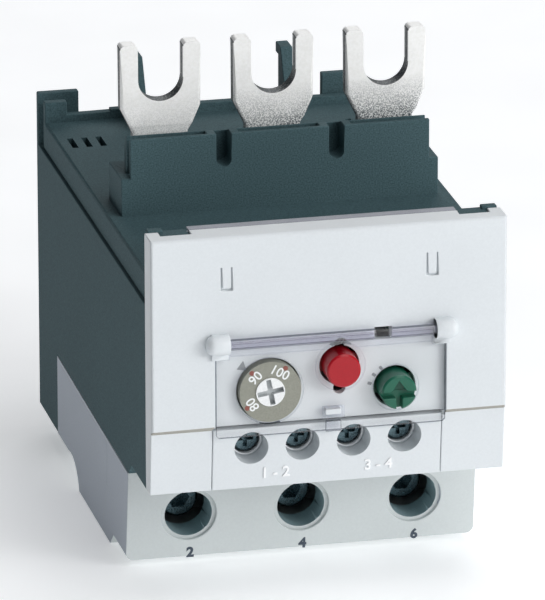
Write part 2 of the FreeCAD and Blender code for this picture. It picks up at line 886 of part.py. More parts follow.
def front_cover():
    """Light plate with the window recess, the control holes and the hinge bosses."""
    bevel = plate_setback * 0.6
    plate = prism([
        (0.0, plate_step),
        (plate_setback, plate_step - bevel),
        (plate_setback + plate_lean, chin_height),
        (plate_thickness, chin_height),
        (plate_thickness, plate_top),
        (0.0, plate_top),
    ], "x", -half_width, half_width)

    def front_corner(edge):
        at = middle_of(edge)
        tall = runs_along(edge, "z") and at.y < 0.01
        top = runs_along(edge, "x") and at.y < 0.01 and at.z > plate_top - 0.01
        return tall or top

    plate = chamfered(plate, plate_round * 0.6, front_corner)
    hollow = block(-half_width + plate_rim, half_width - plate_rim, plate_face, plate_thickness + 1.0,
                   aux_top, plate_top - plate_rim)
    recess = prism(window_outline(window_gap, plate_step - 2 * bevel), "y", -1.0, window_recess)
    insert = block(aux_left, aux_right, -1.0, plate_thickness + 1.0, 0, plate_step)
    plate = plate.cut([hollow, recess, insert])
    lug = block(latch_x - latch_half, latch_x + latch_half, -dial_proud, plate_face,
                latch_z - latch_half_height, latch_z + latch_half_height)
    plate = joined([plate, lug] + hinge_boss(-1) + hinge_boss(1))
    cuts = keyhole() + [hinge_bore(-1), hinge_bore(1)]
    cuts.append(rod("y", dial_radius + dial_hole_gap, -5.0, plate_face + 1.0, (dial_x, dial_z)))
    cuts.append(rod("y", reset_hole_radius, -5.0, plate_face + 1.0, (reset_x, reset_z)))
    cuts.append(block(trip_window_x, trip_window_x + trip_window_width, -5.0, plate_face + 1.0,
                      trip_window_z, trip_window_z + trip_window_height))
    for side in (-1, 1):
        cuts += tongue_grooves(side)
        middle = side * clip_middle
        reach = clip_half + seat_gap
        cuts.append(block(middle - reach, middle + reach, plate_thickness - clip_reach - seat_gap,
                          plate_thickness + 1.0, plate_top - flange_drop - clip_height - seat_gap,
                          plate_top + 1.0))
    return plate.cut(cuts)


def window_cover():
    """Clear hinged cover: sheet, lower lip with finger tab, seal frame and hinge bar."""
    front = -window_proud
    back = front + window_sheet
    sheet = prism(window_outline(0.0, plate_step + seat_gap), "y", front, back)
    lip = block(window_middle - window_half, window_middle + window_half, front,
                plate_setback - window_gap, window_bottom, plate_step + 2 * seat_gap)
    lip = chamfered(lip, window_sheet / 2, lambda e: runs_along(e, "y") and middle_of(e).z < window_bottom + 0.1)
    inner = window_shoulder_half + 2 * window_gap - seat_gap
    low, high = window_middle - inner, window_middle + inner
    bar = rod("x", hinge_bar_radius, low, high, (hinge_y, hinge_z))
    pins = rod("x", hinge_pin_radius, low - hinge_pin_length, high + hinge_pin_length, (hinge_y, hinge_z))
    low, high = window_middle - window_shoulder_half, window_middle + window_shoulder_half
    web_front = hinge_y + hinge_bar_radius * 0.2
    web = block(low, high, web_front, front, window_top - window_sheet, hinge_z)
    root = block(low, high, web_front, back, window_top - window_sheet, window_top)
    tab = block(latch_x - tab_half, latch_x + tab_half, front - tab_proud, back / 2, window_bottom,
                window_bottom + 2 * window_sheet)
    reach = latch_half + latch_gap
    rise = latch_half_height + latch_gap
    frame = block(latch_x - reach - latch_frame, latch_x + reach + latch_frame, front - latch_frame,
                  back, latch_z - rise - latch_frame, latch_z + rise + latch_frame)
    body = joined([sheet, lip, bar, pins, web, root, tab, frame])
    cuts = [
        rod("y", dial_ring_radius, -5.0, 5.0, (dial_x, dial_z)),
        rod("y", test_ring_radius, -5.0, 5.0, (test_x, test_z)),
        rod("y", reset_ring_radius, -5.0, 5.0, (reset_x, reset_z)),
        block(latch_x - reach, latch_x + reach, -5.0, 5.0, latch_z - rise, latch_z + rise),
    ]
    return body.cut(cuts)


# ---- auxiliary terminals ------------------------------------------------------------
def auxiliary_terminal_block():
    """Insert below the settings: four screw wells with conductor entries from below."""
    bevel = plate_setback * 0.6
    left, right = aux_left + seat_gap, aux_right - seat_gap
    body = prism([
        (plate_setback, plate_step - bevel - seat_gap),
        (plate_setback + plate_lean, chin_height),
        (aux_rear, chin_height),
        (aux_rear, aux_top),
        (plate_face - seat_gap, aux_top),
        (plate_face - seat_gap, plate_step - bevel - seat_gap),
    ], "x", left, right)
    cuts = []
    for x in aux_places:
        at = (x, aux_screw_height)
        cuts.append(rod("y", aux_well_radius, 0, aux_ledge, at))
        cuts.append(rod("y", aux_ledge_radius, 0, aux_bay_front + 1.0, at))
        cuts.append(block(x - aux_bay_half, x + aux_bay_half, aux_bay_front, aux_bay_rear, 0, aux_bay_top))
        cuts.append(block(x - aux_foot_half - seat_gap, x + aux_foot_half + seat_gap, aux_bay_rear - 1.0,
                          aux_rear + 1.0, aux_foot_top - aux_plate_thickness - seat_gap,
                          aux_foot_top + seat_gap))
    return body.cut(cuts)


def cross_recess(x, z, y, reach, width, depth):
    """Cross slot of a screw head or dial, cut into a face at y."""
    return [
        block(x - reach, x + reach, y - 5.0, y + depth, z - width / 2, z + width / 2),
        block(x - width / 2, x + width / 2, y - 5.0, y + depth, z - reach, z + reach),
    ]


def aux_screw(x):
    """Captive cross-head terminal screw."""
    head_end = aux_bay_front + contact_touch
    front = head_end - aux_head
    at = (x, aux_screw_height)
    head = rod("y", aux_head_radius, front, head_end, at)
    head = chamfered(head, aux_head * 0.2, lambda e: e.Closed and middle_of(e).y < front + 0.01)
    shank = rod("y", aux_shank_radius, front, aux_shank_end, at)
    width = aux_head_radius * 0.3
    slots = cross_recess(x, aux_screw_height, front, aux_head_radius * 0.6, width, aux_head * 0.6)
    return joined([head, shank]).cut(slots)


def aux_clamp(x):
    """Square clamp washer that travels with its screw."""
    front = aux_bay_front + 2 * contact_touch
    half = aux_clamp_half
    rise = aux_head_radius
    body = block(x - half, x + half, front, front + aux_clamp_thickness,
                 aux_screw_height - rise, aux_screw_height + rise)
    hole = rod("y", aux_shank_radius + seat_gap, 0, aux_rear, (x, aux_screw_height))
    return body.cut(hole)


def terminal_plate(x):
    """Screw plate and rearward foot of one auxiliary terminal."""
    front = aux_plate_front
    back = front + aux_plate_thickness
    low = aux_foot_top - aux_plate_thickness
    plate = block(x - aux_clamp_half, x + aux_clamp_half, front, back,
                  aux_screw_height - aux_clamp_half, aux_foot_top)
    foot = block(x - aux_foot_half, x + aux_foot_half, front, contact_front + contact_width, low, aux_foot_top)
    return [plate, foot]


def terminal_strips():
    """Four fixed terminal strips; the inner two carry the fixed contacts."""
    low = aux_foot_top - aux_plate_thickness
    rear = contact_front + contact_width
    middle_y = contact_front + contact_width / 2
    half = post_thickness / 2
    extras = {
        0: [block(aux_places[0], nc_strip_x + post_thickness, contact_front, rear, low, aux_foot_top)],
        1: [block(nc_post_x - half, nc_post_x + half, contact_front, rear, low, contact_top),
            rod("x", rivet_radius, nc_strip_x + contact_spring / 2 + rivet_head + contact_touch,
                nc_post_x, (middle_y, contact_height))],
        2: [block(no_post_x - half, no_post_x + half, contact_front, rear, low, contact_top),
            rod("x", rivet_radius, no_post_x,
                no_strip_x - contact_spring / 2 - rivet_head - contact_gap, (middle_y, contact_height))],
        3: [block(no_strip_x - post_thickness, aux_places[3], contact_front, rear, low, aux_foot_top)],
    }
    strips = []
    for k, x in enumerate(aux_places):
        hole = rod("y", aux_shank_radius + thread_gap, 0, aux_rear, (x, aux_screw_height))
        strips.append(joined(terminal_plate(x) + extras[k]).cut(hole))
    return strips


def contact_strip(x, side):
    """Moving contact: spring strip on a rounded root, with its rivet on one side."""
    half = contact_spring / 2
    rear = contact_front + contact_width
    middle_y = contact_front + contact_width / 2
    blade = block(x - half, x + half, contact_front, rear, contact_root, contact_top)
    root = rod("y", half, contact_front, rear, (x, contact_root))
    low, high = sorted((x, x + side * (half + rivet_head)))
    rivet = rod("x", rivet_radius, low, high, (middle_y, contact_height))
    return joined([blade, root, rivet])


# ---- controls -----------------------------------------------------------------------
def current_dial():
    """Setting dial: ring, raised hub with a cross slot, retaining ears and shaft."""
    at = (dial_x, dial_z)
    disc = rod("y", dial_radius, -dial_proud, flange_back, at)
    hub = rod("y", dial_hub_radius, -dial_proud - dial_hub_proud, flange_back, at)
    reach = dial_radius + dial_hole_gap + flange_grip
    flange = block(dial_x - reach, dial_x + reach, flange_front, flange_back,
                   dial_z - dial_shaft_radius, dial_z + dial_shaft_radius)
    shaft = rod("y", dial_shaft_radius, 0, dial_shaft_end, at)
    slots = cross_recess(dial_x, dial_z, -dial_proud - dial_hub_proud, dial_hub_radius * 0.9,
                         dial_slot_width, dial_slot_depth)
    for slot in slots:
        slot.rotate(V(dial_x, 0, dial_z), V(0, 1, 0), dial_slot_turn)
    return joined([disc, hub, flange, shaft]).cut(slots)


def dial_cam():
    """Spiral cam on the dial shaft: its radius grows evenly with the angle."""
    def rim(degrees):
        turn = math.radians(degrees)
        radius = cam_radius + cam_slope * (turn - math.pi / 2)
        return V(dial_x + radius * math.sin(turn), cam_front, dial_z + radius * math.cos(turn))

    arcs = []
    for start in range(0, 180, 60):
        arcs.append(Part.Arc(rim(start), rim(start + 30), rim(start + 60)).toShape())
    back = V(dial_x - cam_radius * 0.75, cam_front, dial_z)
    arcs.append(Part.Arc(rim(180), back, rim(0)).toShape())
    face = Part.Face(Part.Wire(arcs))
    bore = rod("y", dial_shaft_radius + seat_gap / 5, 0, case_depth, (dial_x, dial_z))
    return face.extrude(V(0, cam_thickness, 0)).cut(bore)


def setting_lever():
    """Lever on the frame's stud whose nose follows the dial cam."""
    back = setting_lever_front + setting_lever_thickness
    half = stud_radius
    arm = block(nose_x - half, nose_x + half, setting_lever_front, back, dial_z, setting_pivot_z)
    eye = rod("y", stud_radius * 1.9, setting_lever_front, back, (nose_x, setting_pivot_z))
    nose = rod("y", nose_radius, cam_front - seat_gap, back, (nose_x, dial_z))
    bore = rod("y", stud_radius + running_gap, 0, case_depth, (nose_x, setting_pivot_z))
    return joined([arm, eye, nose]).cut(bore)


def push_cap(at, radius, proud, hole_radius, stem_radius, stem_end):
    """Round push button with retaining ears and a stem."""
    cap = rod("y", radius, -proud, flange_back, at)
    cap = chamfered(cap, radius * 0.1, lambda e: e.Closed and middle_of(e).y < 0)
    reach = hole_radius + flange_grip
    flange = block(at[0] - reach, at[0] + reach, flange_front, flange_back,
                   at[1] - stem_radius, at[1] + stem_radius)
    stem = rod("y", stem_radius, 0, stem_end, at)
    return joined([cap, flange, stem])


def test_button():
    return push_cap((test_x, test_z), test_radius, test_proud, test_hole_radius,
                    test_stem_radius, test_stem_end)


def reset_button():
    """Reset button: slots across the cap, an arrow pocket and a stem with a flat."""
    body = push_cap((reset_x, reset_z), reset_radius, reset_proud, reset_hole_radius,
                    reset_stem_radius, reset_stem_end)
    depth = reset_slot_depth - reset_proud
    half = reset_slot_width / 2
    slot_z = reset_z - reset_radius * 0.15
    cuts = [
        block(reset_x - case_width, reset_x + case_width, -case_depth, depth, slot_z - half, slot_z + half),
        block(reset_x - half, reset_x + half, -case_depth, depth, reset_z - case_width, slot_z),
        prism([
            (reset_x - reset_radius * 0.45, slot_z + half),
            (reset_x + reset_radius * 0.45, slot_z + half),
            (reset_x, reset_z + reset_radius * 0.65),
        ], "y", -case_depth, depth * 0.9),
        block(reset_x + reset_stem_flat, reset_x + case_width, flange_back, case_depth, 0, case_top),
    ]
    return body.cut(cuts)


def reset_sleeve():
    """Selector sleeve that turns with the reset button and guides its stem."""
    at = (reset_x, reset_z)
    tube = rod("y", sleeve_radius, wall_back - sleeve_head, sleeve_end, at)
    head = rod("y", sleeve_head_radius, wall_back - sleeve_head - seat_gap, wall_back - seat_gap, at)
    bore = rod("y", reset_stem_radius + running_gap, 0, case_depth, at)
    flat = block(reset_x + reset_stem_flat + running_gap, reset_x + case_width, 0, case_depth, 0, case_top)
    return joined([tube, head]).cut(bore.cut(flat))


# ---- mechanism ----------------------------------------------------------------------
def mechanism_frame():
    """Moulded plate behind the front wall: bearings, lever stud, carrier guides and cheek."""
    plate = block(-frame_half, frame_half, wall_back, frame_back, frame_bottom, frame_top)
    stud_end = setting_lever_front + setting_lever_thickness + seat_gap * 6
    stud = rod("y", stud_radius, frame_back, stud_end, (nose_x, setting_pivot_z))
    rear = carrier_front + carrier_depth
    ledge = rib * 0.7
    bottom = carrier_bottom - slide_gap
    top = carrier_bottom + carrier_height + slide_gap
    parts = [plate, stud]
    guide_right = reset_x + sleeve_radius + rib
    for x in (test_x - test_stem_radius - 2 * frame_thickness, guide_right):
        parts.append(block(x, x + frame_thickness, frame_back, rear, bottom - ledge, bottom))
        parts.append(block(x, x + frame_thickness, frame_back, rear, top, top + ledge))
    cheek = -opening_half
    parts.append(block(cheek, cheek + rib, frame_back, rear + rib, bottom - rib, top + rib))
    arm = arm_x()
    cuts = [
        rod("y", dial_shaft_radius + running_gap, 0, case_depth, (dial_x, dial_z)),
        rod("y", test_stem_radius + running_gap, 0, case_depth, (test_x, test_z)),
        rod("y", sleeve_radius + running_gap, 0, case_depth, (reset_x, reset_z)),
        block(arm - trip_travel - slide_gap * 2, arm + frame_thickness + slide_gap * 2, 0, frame_back + 1.0,
              arm_bottom() - slide_gap * 2, arm_bottom() + frame_thickness + slide_gap * 2),
    ]
    return joined(parts).cut(cuts)


def arm_x():
    """Left face of the trip flag's arm."""
    return trip_window_x + trip_window_width + flag_gap + seat_gap * 5


def arm_bottom():
    return trip_window_z + (trip_window_height - frame_thickness) / 2


def contact_carrier():
    """Sliding bar that moves both contact strips and the trip flag."""
    rear = carrier_front + carrier_depth
    top = carrier_bottom + carrier_height
    finger_end = contact_front + contact_width
    parts = [block(carrier_left, carrier_right, carrier_front, rear, carrier_bottom, top)]
    for x in (nc_strip_x, no_strip_x):
        face = x + contact_spring / 2 + finger_gap
        parts.append(block(face, face + finger_width, carrier_front, finger_end, carrier_bottom, top))
    parts.append(block(carrier_right - frame_thickness, carrier_right, carrier_front,
                       contact_front + carrier_depth, carrier_bottom, top))
    parts.append(block(arm_x(), arm_x() + frame_thickness, carrier_front, rear, carrier_bottom,
                       arm_bottom() + frame_thickness))
    return joined(parts)


def trip_indicator():
    """Flag that slides behind the trip window, on an arm from the carrier."""
    x = trip_window_x + trip_window_width + flag_gap
    z = trip_window_z - (flag_height - trip_window_height) / 2
    front = flange_back + 3 * flange_height
    flag = block(x, x + flag_width, front, front + flag_thickness, z, z + flag_height)
    arm = block(arm_x(), arm_x() + frame_thickness, front, carrier_front, arm_bottom(),
                arm_bottom() + frame_thickness)
    return joined([flag, arm])


def trip_bar(bottom, side):
    """Trip slide with a finger beside each bimetal strip."""
    rear = bar_front + bar_thickness
    half = finger_thickness / 2
    bar = block(-bar_left, bar_right, bar_front, rear, bottom, bottom + bar_height)
    offset = side * (strip_thickness / 2 + half + finger_clearance * (2 - side))
    middle = bottom + bar_height / 2
    fingers = []
    for x in pole_places:
        place = x + offset
        fingers.append(block(place - half, place + half, bar_front, rear + finger_length,
                             middle - half, middle + half))
    hole = rod("y", link_pin_radius + seat_gap / 2, 0, case_depth, (bar_right - link_half, middle))
    return joined([bar] + fingers).cut(hole)


def differential_lever():
    """Link pinned to both trip slides; its edge pushes the trip lever."""
    x = bar_right - link_half
    back = bar_front - seat_gap * 2
    front = back - link_thickness
    low = overload_bar_bottom + bar_height / 2
    high = phase_bar_bottom + bar_height / 2
    plate = block(x - link_half, bar_right + 2 * finger_clearance, front, back,
                  low - link_half, high + link_half)
    parts = [plate]
    for z in (low, high):
        parts.append(rod("y", link_pin_radius, back, bar_front + bar_thickness, (x, z)))
    return joined(parts)


def trip_lever():
    """Two-armed lever on a vertical pin: the trip slides push its rear arm."""
    face = bar_right + 2 * finger_clearance + 2 * contact_touch
    rear = bar_front - seat_gap * 2
    top = lever_bottom + lever_height
    boss = rod("z", lever_boss_radius, lever_bottom, top, (lever_x, lever_y))
    arm = block(face, face + lever_arm, lever_y, rear, lever_bottom, top)
    web = prism([
        (face, lever_y),
        (lever_x + lever_boss_radius * 0.9, lever_y),
        (face + lever_arm, lever_y + 4 * lever_boss_radius),
        (face, lever_y + 4 * lever_boss_radius),
    ], "z", lever_bottom + lever_arm, lever_bottom + 2 * lever_arm)
    strip = comp_strip_x()
    grip = block(strip - lever_arm, lever_x, cross_wall_front + rib + 2 * slide_gap, lever_y,
                 lever_bottom, top)
    slot = comp_strip_blank(seat_gap / 2)
    bore = rod("z", lever_pin_radius + running_gap, 0, case_top, (lever_x, lever_y))
    return joined([boss, arm, web, grip]).cut([slot, bore])


def comp_strip_x():
    """Left face of the compensating strip, just clear of the carrier's end."""
    return carrier_right + slide_gap + seat_gap


def comp_strip_blank(grow):
    x = comp_strip_x()
    middle = carrier_bottom + carrier_height / 2
    half = comp_strip_height / 2 + grow
    return block(x - grow, x + comp_strip_thickness + grow, comp_strip_front,
                 lever_y - lever_arm + grow, middle - half, middle + half)


def lever_pin():
    top = lever_bottom + lever_height + lever_arm
    return rod("z", lever_pin_radius - seat_gap / 5, floor_top + seat_gap, top, (lever_x, lever_y))


# ---- current path -------------------------------------------------------------------
def line_fork(x):
    """Plated fork blank, bent back inside the case to feed the heater."""
    slot_arc = fork_slot_bottom + fork_slot_half
    back = fork_front + fork_thickness
    blade = prism([
        (x - fork_stem_half, fork_foot_bottom),
        (x + fork_stem_half, fork_foot_bottom),
        (x + fork_stem_half, fork_neck),
        (x + fork_half, fork_shoulder),
        (x + fork_half, fork_top),
        (x + fork_slot_half, fork_top),
        (x + fork_slot_half, slot_arc),
        ((x, fork_slot_bottom), (x - fork_slot_half, slot_arc)),
        (x - fork_slot_half, fork_top),
        (x - fork_half, fork_top),
        (x - fork_half, fork_shoulder),
        (x - fork_stem_half, fork_neck),
    ], "y", fork_front, back)
    blade = rounded(blade, fork_round, lambda e: runs_along(e, "y") and middle_of(e).z > fork_top - 0.01)
    foot = block(x - fork_stem_half, x + fork_stem_half, fork_front, conductor_rear,
                 fork_foot_bottom, fork_foot_top)
    fork = joined([blade, foot])
    relief = block(x - fork_half, x + fork_half, fork_front - fork_pad_height, fork_front + fork_pad_height,
                   case_split, fork_pad)
    fork = fork.cut(relief)

    def bend(edge):
        at = middle_of(edge)
        return runs_along(edge, "x") and at.y < fork_front + 0.01 and at.z < fork_foot_bottom + 0.01

    return rounded(fork, fork_bend, bend)


def heater(x):
    """Resistance ribbon that zigzags from the fork's foot down to the busbar."""
    left = x - heater_offset - heater_thickness / 2
    right = left + heater_thickness
    rear = heater_front + heater_width
    height = fork_foot_bottom - busbar_foot_top
    pitch = (height - heater_ribbon) / (heater_runs - 1)
    parts = []
    for k in range(heater_runs):
        z = busbar_foot_top + k * pitch
        parts.append(block(left, right, heater_front, rear, z, z + heater_ribbon))
        if k:
            y = heater_front if k % 2 else rear - heater_ribbon
            parts.append(block(left, right, y, y + heater_ribbon, z - pitch, z + heater_ribbon))
    return joined(parts)


def bimetal(x):
    """Bimetal strip standing on the busbar; its free end moves the trip slides."""
    half = strip_thickness / 2
    rear = strip_front + strip_width
    blade = block(x - half, x + half, strip_front, rear, strip_pivot, strip_top)
    root = rod("y", half, strip_front, rear, (x, strip_pivot))
    return joined([blade, root])


# ---- springs ------------------------------------------------------------------------
def test_spring():
    return coil(test_stem_radius + 4 * spring_wire, spring_wire, wall_back - flange_back, spring_turns,
                V(test_x, flange_back, test_z), V(0, 1, 0))


def reset_spring():
    return coil(reset_stem_radius + 4 * spring_wire, spring_wire,
                wall_back - sleeve_head - seat_gap - flange_back, spring_turns,
                V(reset_x, flange_back, reset_z), V(0, 1, 0))


def carrier_spring():
    start = -opening_half + rib
    return coil(carrier_spring_radius, spring_wire, carrier_left - start, carrier_spring_turns,
                V(start, carrier_front + carrier_depth / 2, carrier_bottom + carrier_height / 2), V(1, 0, 0))


# ---- all nodes ----------------------------------------------------------------------
def write_all():
    os.makedirs("parts", exist_ok=True)
    write("base_housing", [base_housing()])
    write("top_housing", [top_housing()])
    write("front_cover", [front_cover()])
    write("window_cover", [window_cover()])
    write("auxiliary_terminal_block", [auxiliary_terminal_block()])
    write("terminal_shroud", [terminal_shroud()])
    write("load_terminal_housing", [load_terminal_housing()])
    write("current_dial", [current_dial()])
    write("dial_cam", [dial_cam()])
    write("setting_lever", [setting_lever()])
    write("test_button", [test_button()])
    write("test_spring", [test_spring()])
    write("reset_button", [reset_button()])
    write("reset_sleeve", [reset_sleeve()])
    write("reset_spring", [reset_spring()])
    write("mechanism_frame", [mechanism_frame()])
    write("contact_carrier", [contact_carrier()])
    write("carrier_spring", [carrier_spring()])
    write("trip_indicator", [trip_indicator()])
    write("terminal_strips", terminal_strips())
    write("nc_contact_strip", [contact_strip(nc_strip_x, 1)])
    write("no_contact_strip", [contact_strip(no_strip_x, -1)])
    write("overload_bar", [trip_bar(overload_bar_bottom, 1)])
    write("phase_loss_bar", [trip_bar(phase_bar_bottom, -1)])
    write("differential_lever", [differential_lever()])
    write("trip_lever", [trip_lever()])
    write("compensating_strip", [comp_strip_blank(0.0)])
    write("lever_pin", [lever_pin()])
    for k, x in enumerate(pole_places, 1):
        write("line_fork_%d" % k, [line_fork(x)])
        write("heater_%d" % k, [heater(x)])
        write("bimetal_%d" % k, [bimetal(x)])
        write("load_busbar_%d" % k, [load_busbar(x)])
        write("clamp_frame_%d" % k, [clamp_frame(x)])
        write("pressure_plate_%d" % k, [pressure_plate(x)])
        write("load_screw_%d" % k, [load_screw(x)])
    for k, x in enumerate(aux_places, 1):
        write("aux_screw_%d" % k, [aux_screw(x)])
        write("aux_clamp_%d" % k, [aux_clamp(x)])


write_all()
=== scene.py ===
"""Thermal overload relay: finishes, rounded mouldings, dial scale, window and markings."""

import json
import math

import bmesh
import bpy
from mathutils import Matrix, Vector
from mathutils.bvhtree import BVHTree


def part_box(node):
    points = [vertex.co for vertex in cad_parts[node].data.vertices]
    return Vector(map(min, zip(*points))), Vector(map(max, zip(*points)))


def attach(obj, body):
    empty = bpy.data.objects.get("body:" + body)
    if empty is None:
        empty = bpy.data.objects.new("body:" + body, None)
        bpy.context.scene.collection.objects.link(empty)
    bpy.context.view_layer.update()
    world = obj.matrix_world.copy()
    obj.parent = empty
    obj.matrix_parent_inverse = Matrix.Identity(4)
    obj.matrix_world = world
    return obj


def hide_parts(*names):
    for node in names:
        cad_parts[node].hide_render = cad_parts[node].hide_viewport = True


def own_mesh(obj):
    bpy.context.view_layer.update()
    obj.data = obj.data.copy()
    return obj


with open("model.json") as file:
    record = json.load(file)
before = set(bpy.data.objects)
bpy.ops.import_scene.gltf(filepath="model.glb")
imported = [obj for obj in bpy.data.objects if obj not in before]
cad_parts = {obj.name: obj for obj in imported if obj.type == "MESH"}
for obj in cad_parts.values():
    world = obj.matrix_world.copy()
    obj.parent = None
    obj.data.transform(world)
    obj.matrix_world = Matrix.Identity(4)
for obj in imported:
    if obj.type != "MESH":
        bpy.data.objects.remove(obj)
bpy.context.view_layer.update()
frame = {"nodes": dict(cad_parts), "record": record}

bl_info = {
    "name": "Thermal Overload Relay",
    "version": (1, 0, 0),
    "blender": (4, 5, 0),
    "location": "3D View > Sidebar > Relay",
    "description": "Dresses the relay's CAD frame with moulded, plated and clear finishes",
    "category": "Object",
}

MM = 0.001
MERGE = 0.002 * MM  # between corners that are one corner in the CAD mesh
TOUCH = 0.001 * MM  # the same, in a mesh made here
NODES = frame["nodes"]
BODIES = frame["record"]["behaviour"]["bodies"]
PLATE_THICKNESS = 5.7 * MM
PLATE_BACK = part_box("front_cover")[1].y
FACE_Y = PLATE_BACK - PLATE_THICKNESS


def linear(text):
    """Linear colour of an sRGB hex value."""
    parts = [int(text[k:k + 2], 16) / 255 for k in (0, 2, 4)]
    return [v / 12.92 if v <= 0.04045 else ((v + 0.055) / 1.055) ** 2.4 for v in parts]


def middle(node):
    """Middle of a CAD node's box."""
    low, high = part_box(node)
    return (low + high) / 2


def front_surface(node, x, z):
    """Depth at which a line drawn from the front first meets a CAD node."""
    shell = bmesh.new()
    shell.from_mesh(NODES[node].data)
    shell.transform(NODES[node].matrix_world)
    met = BVHTree.FromBMesh(shell).ray_cast(Vector((x, -1.0, z)), Vector((0, 1, 0)))[0]
    shell.free()
    if not met:
        raise RuntimeError(f"{node} has no surface at {x}, {z}")
    return met.y


def body_of(node):
    """Name of the body that a CAD node belongs to."""
    return next(body for body, members in BODIES.items() if node in members)


# ---- values a user may change -------------------------------------------------------
def length(name, text, millimetres):
    return bpy.props.FloatProperty(name=name, description=text, default=millimetres * MM,
                                   min=0.0, unit="LENGTH", precision=5)


def colour(name, text, hex_value):
    return bpy.props.FloatVectorProperty(name=name, description=text, default=linear(hex_value),
                                         min=0.0, max=1.0, size=3, subtype="COLOR")


class RelaySizes(bpy.types.PropertyGroup):
    moulding_edge: length("Moulding edge", "Edge radius of the plastic mouldings", 0.22)
    step_edge: length("Step edge", "Edge radius of the step across the front plate", 0.45)
    fork_edge: length("Fork edge", "Edge radius of the stamped forks", 0.65)
    button_edge: length("Button edge", "Edge radius of the two push buttons", 0.3)
    ink_height: length("Ink height", "Thickness of the printed markings", 0.03)
    relief_height: length("Relief height", "Height of the moulded terminal numbers", 0.22)
    dial_digit: length("Dial digits", "Height of the numbers on the dial", 1.95)
    terminal_digit: length("Terminal digits", "Height of the numbers below the load screws", 2.3)
    relief_digit: length("Moulded digits", "Height of the moulded auxiliary numbers", 2.2)


class RelayColours(bpy.types.PropertyGroup):
    housing: colour("Housing", "Dark base and lid", "496065")
    cover: colour("Cover", "Front plate and auxiliary block", "dce1e4")
    terminal_block: colour("Terminal block", "Lower block with the load terminals", "cdd3d3")
    dial_ring: colour("Dial ring", "Turning scale", "8f9085")
    test_button: colour("Test button", "Test button", "a8071a")
    reset_button: colour("Reset button", "Reset button", "185f4a")
    tin: colour("Tin", "Plated forks", "fafaf7")
    zinc: colour("Zinc", "Plated clamps", "b9c4cf")
    # The screws' dark colour is painted shade of the wells and bores.
    screw: colour("Screws", "Dark plated screws", "6a7f86")
    floor: colour("Floor", "Studio floor", "f6f7f8")


def sizes():
    return bpy.context.scene.relay_sizes


def colours():
    return bpy.context.scene.relay_colours


# ---- materials ----------------------------------------------------------------------
def add(tree, kind, values=None, links=None):
    """Adds a node with its settings, its inputs' values and its inputs' links."""
    node = tree.nodes.new(kind)
    for key, value in (values or {}).items():
        if isinstance(key, int) or key in node.inputs:
            node.inputs[key].default_value = value
        else:
            setattr(node, key, value)
    for key, source in (links or {}).items():
        tree.links.new(source, node.inputs[key])
    return node


def opened(name):
    """A new material with an empty tree, its tree and its object coordinates."""
    material = bpy.data.materials.new(name)
    material.use_nodes = True
    tree = material.node_tree
    tree.nodes.clear()
    place = add(tree, "ShaderNodeTexCoord").outputs["Object"]
    return material, tree, place


def closed(material, tree, shader):
    add(tree, "ShaderNodeOutputMaterial", links={"Surface": shader})
    return material


def rgba(value, factor=1.0):
    return [min(1.0, channel * factor) for channel in value] + [1.0]


def speckled_colour(tree, place, base, grain_mm, darkest, lightest, drift_mm=30.0):
    """Base colour with a fine grain and a broad, faint drift."""
    grain = add(tree, "ShaderNodeTexNoise", {"Scale": 1000 / grain_mm, "Detail": 3.0, "Roughness": 0.6},
                {"Vector": place})
    ramp = add(tree, "ShaderNodeValToRGB", links={"Fac": grain.outputs["Fac"]})
    ramp.color_ramp.elements[0].position = 0.32
    ramp.color_ramp.elements[0].color = rgba(base, darkest)
    ramp.color_ramp.elements[1].position = 0.72
    ramp.color_ramp.elements[1].color = rgba(base, lightest)
    drift = add(tree, "ShaderNodeTexNoise", {"Scale": 1000 / drift_mm, "Detail": 2.0}, {"Vector": place})
    shade = add(tree, "ShaderNodeMapRange", {"To Min": 0.94, "To Max": 1.06}, {"Value": drift.outputs["Fac"]})
    mixed = add(tree, "ShaderNodeVectorMath", {"operation": "SCALE"},
                {0: ramp.outputs["Color"], "Scale": shade.outputs["Result"]})
    return mixed.outputs["Vector"], grain.outputs["Fac"]


def grained(tree, tone, grain, gloss, relief, settings):
    """A shader whose gloss and relief follow a grain. gloss holds the least and the greatest
    roughness, and relief holds the bump's strength and its depth in millimetres."""
    rough = add(tree, "ShaderNodeMapRange", {"To Min": gloss[0], "To Max": gloss[1]}, {"Value": grain})
    bump = add(tree, "ShaderNodeBump", {"Strength": relief[0], "Distance": relief[1] * MM}, {"Height": grain})
    shader = add(tree, "ShaderNodeBsdfPrincipled", settings,
                 {"Base Color": tone, "Roughness": rough.outputs["Result"], "Normal": bump.outputs["Normal"]})
    return shader.outputs["BSDF"]


def moulded(name, base, grain_mm, depth_mm, roughness, contrast, ior):
    """Moulded plastic, or a coat on it: a fine grain in colour, gloss and relief."""
    material, tree, place = opened(name)
    tone, grain = speckled_colour(tree, place, base, grain_mm, 1.0 - contrast, 1.0 + contrast)
    gloss = (roughness - 0.06, roughness + 0.08)
    return closed(material, tree, grained(tree, tone, grain, gloss, (0.5, depth_mm), {"IOR": ior}))


def glass_filled_nylon():
    """Polyamide with glass fibre, spark-eroded: a dull slate with paler fibre tips.
    The real grain is about 0.1 mm and is drawn 0.3 mm wide so that it shows. The IOR is below a
    polyamide's, which keeps the sheen on it weak."""
    return moulded("glass_filled_nylon", colours().housing, 0.3, 0.03, 0.7, 0.3, 1.2)


def painted_sheen_nylon():
    """Paler and smoother polyamide for the strip of lid just behind the plate: its paler, cool colour is a
    painted sheen of the up-facing lid.
    """
    return moulded("painted_sheen_nylon", linear("868a96"), 0.3, 0.01, 0.4, 0.15, 1.53)


def bore_painted_shade_nylon():
    """The lower block's plastic in a darker grey-green, finely eroded, for the walls of the load terminals'
    bores: the darker colour is painted shade inside the bores.
    """
    return moulded("bore_painted_shade_nylon", linear("93abb0"), 0.3, 0.01, 0.5, 0.1, 1.45)


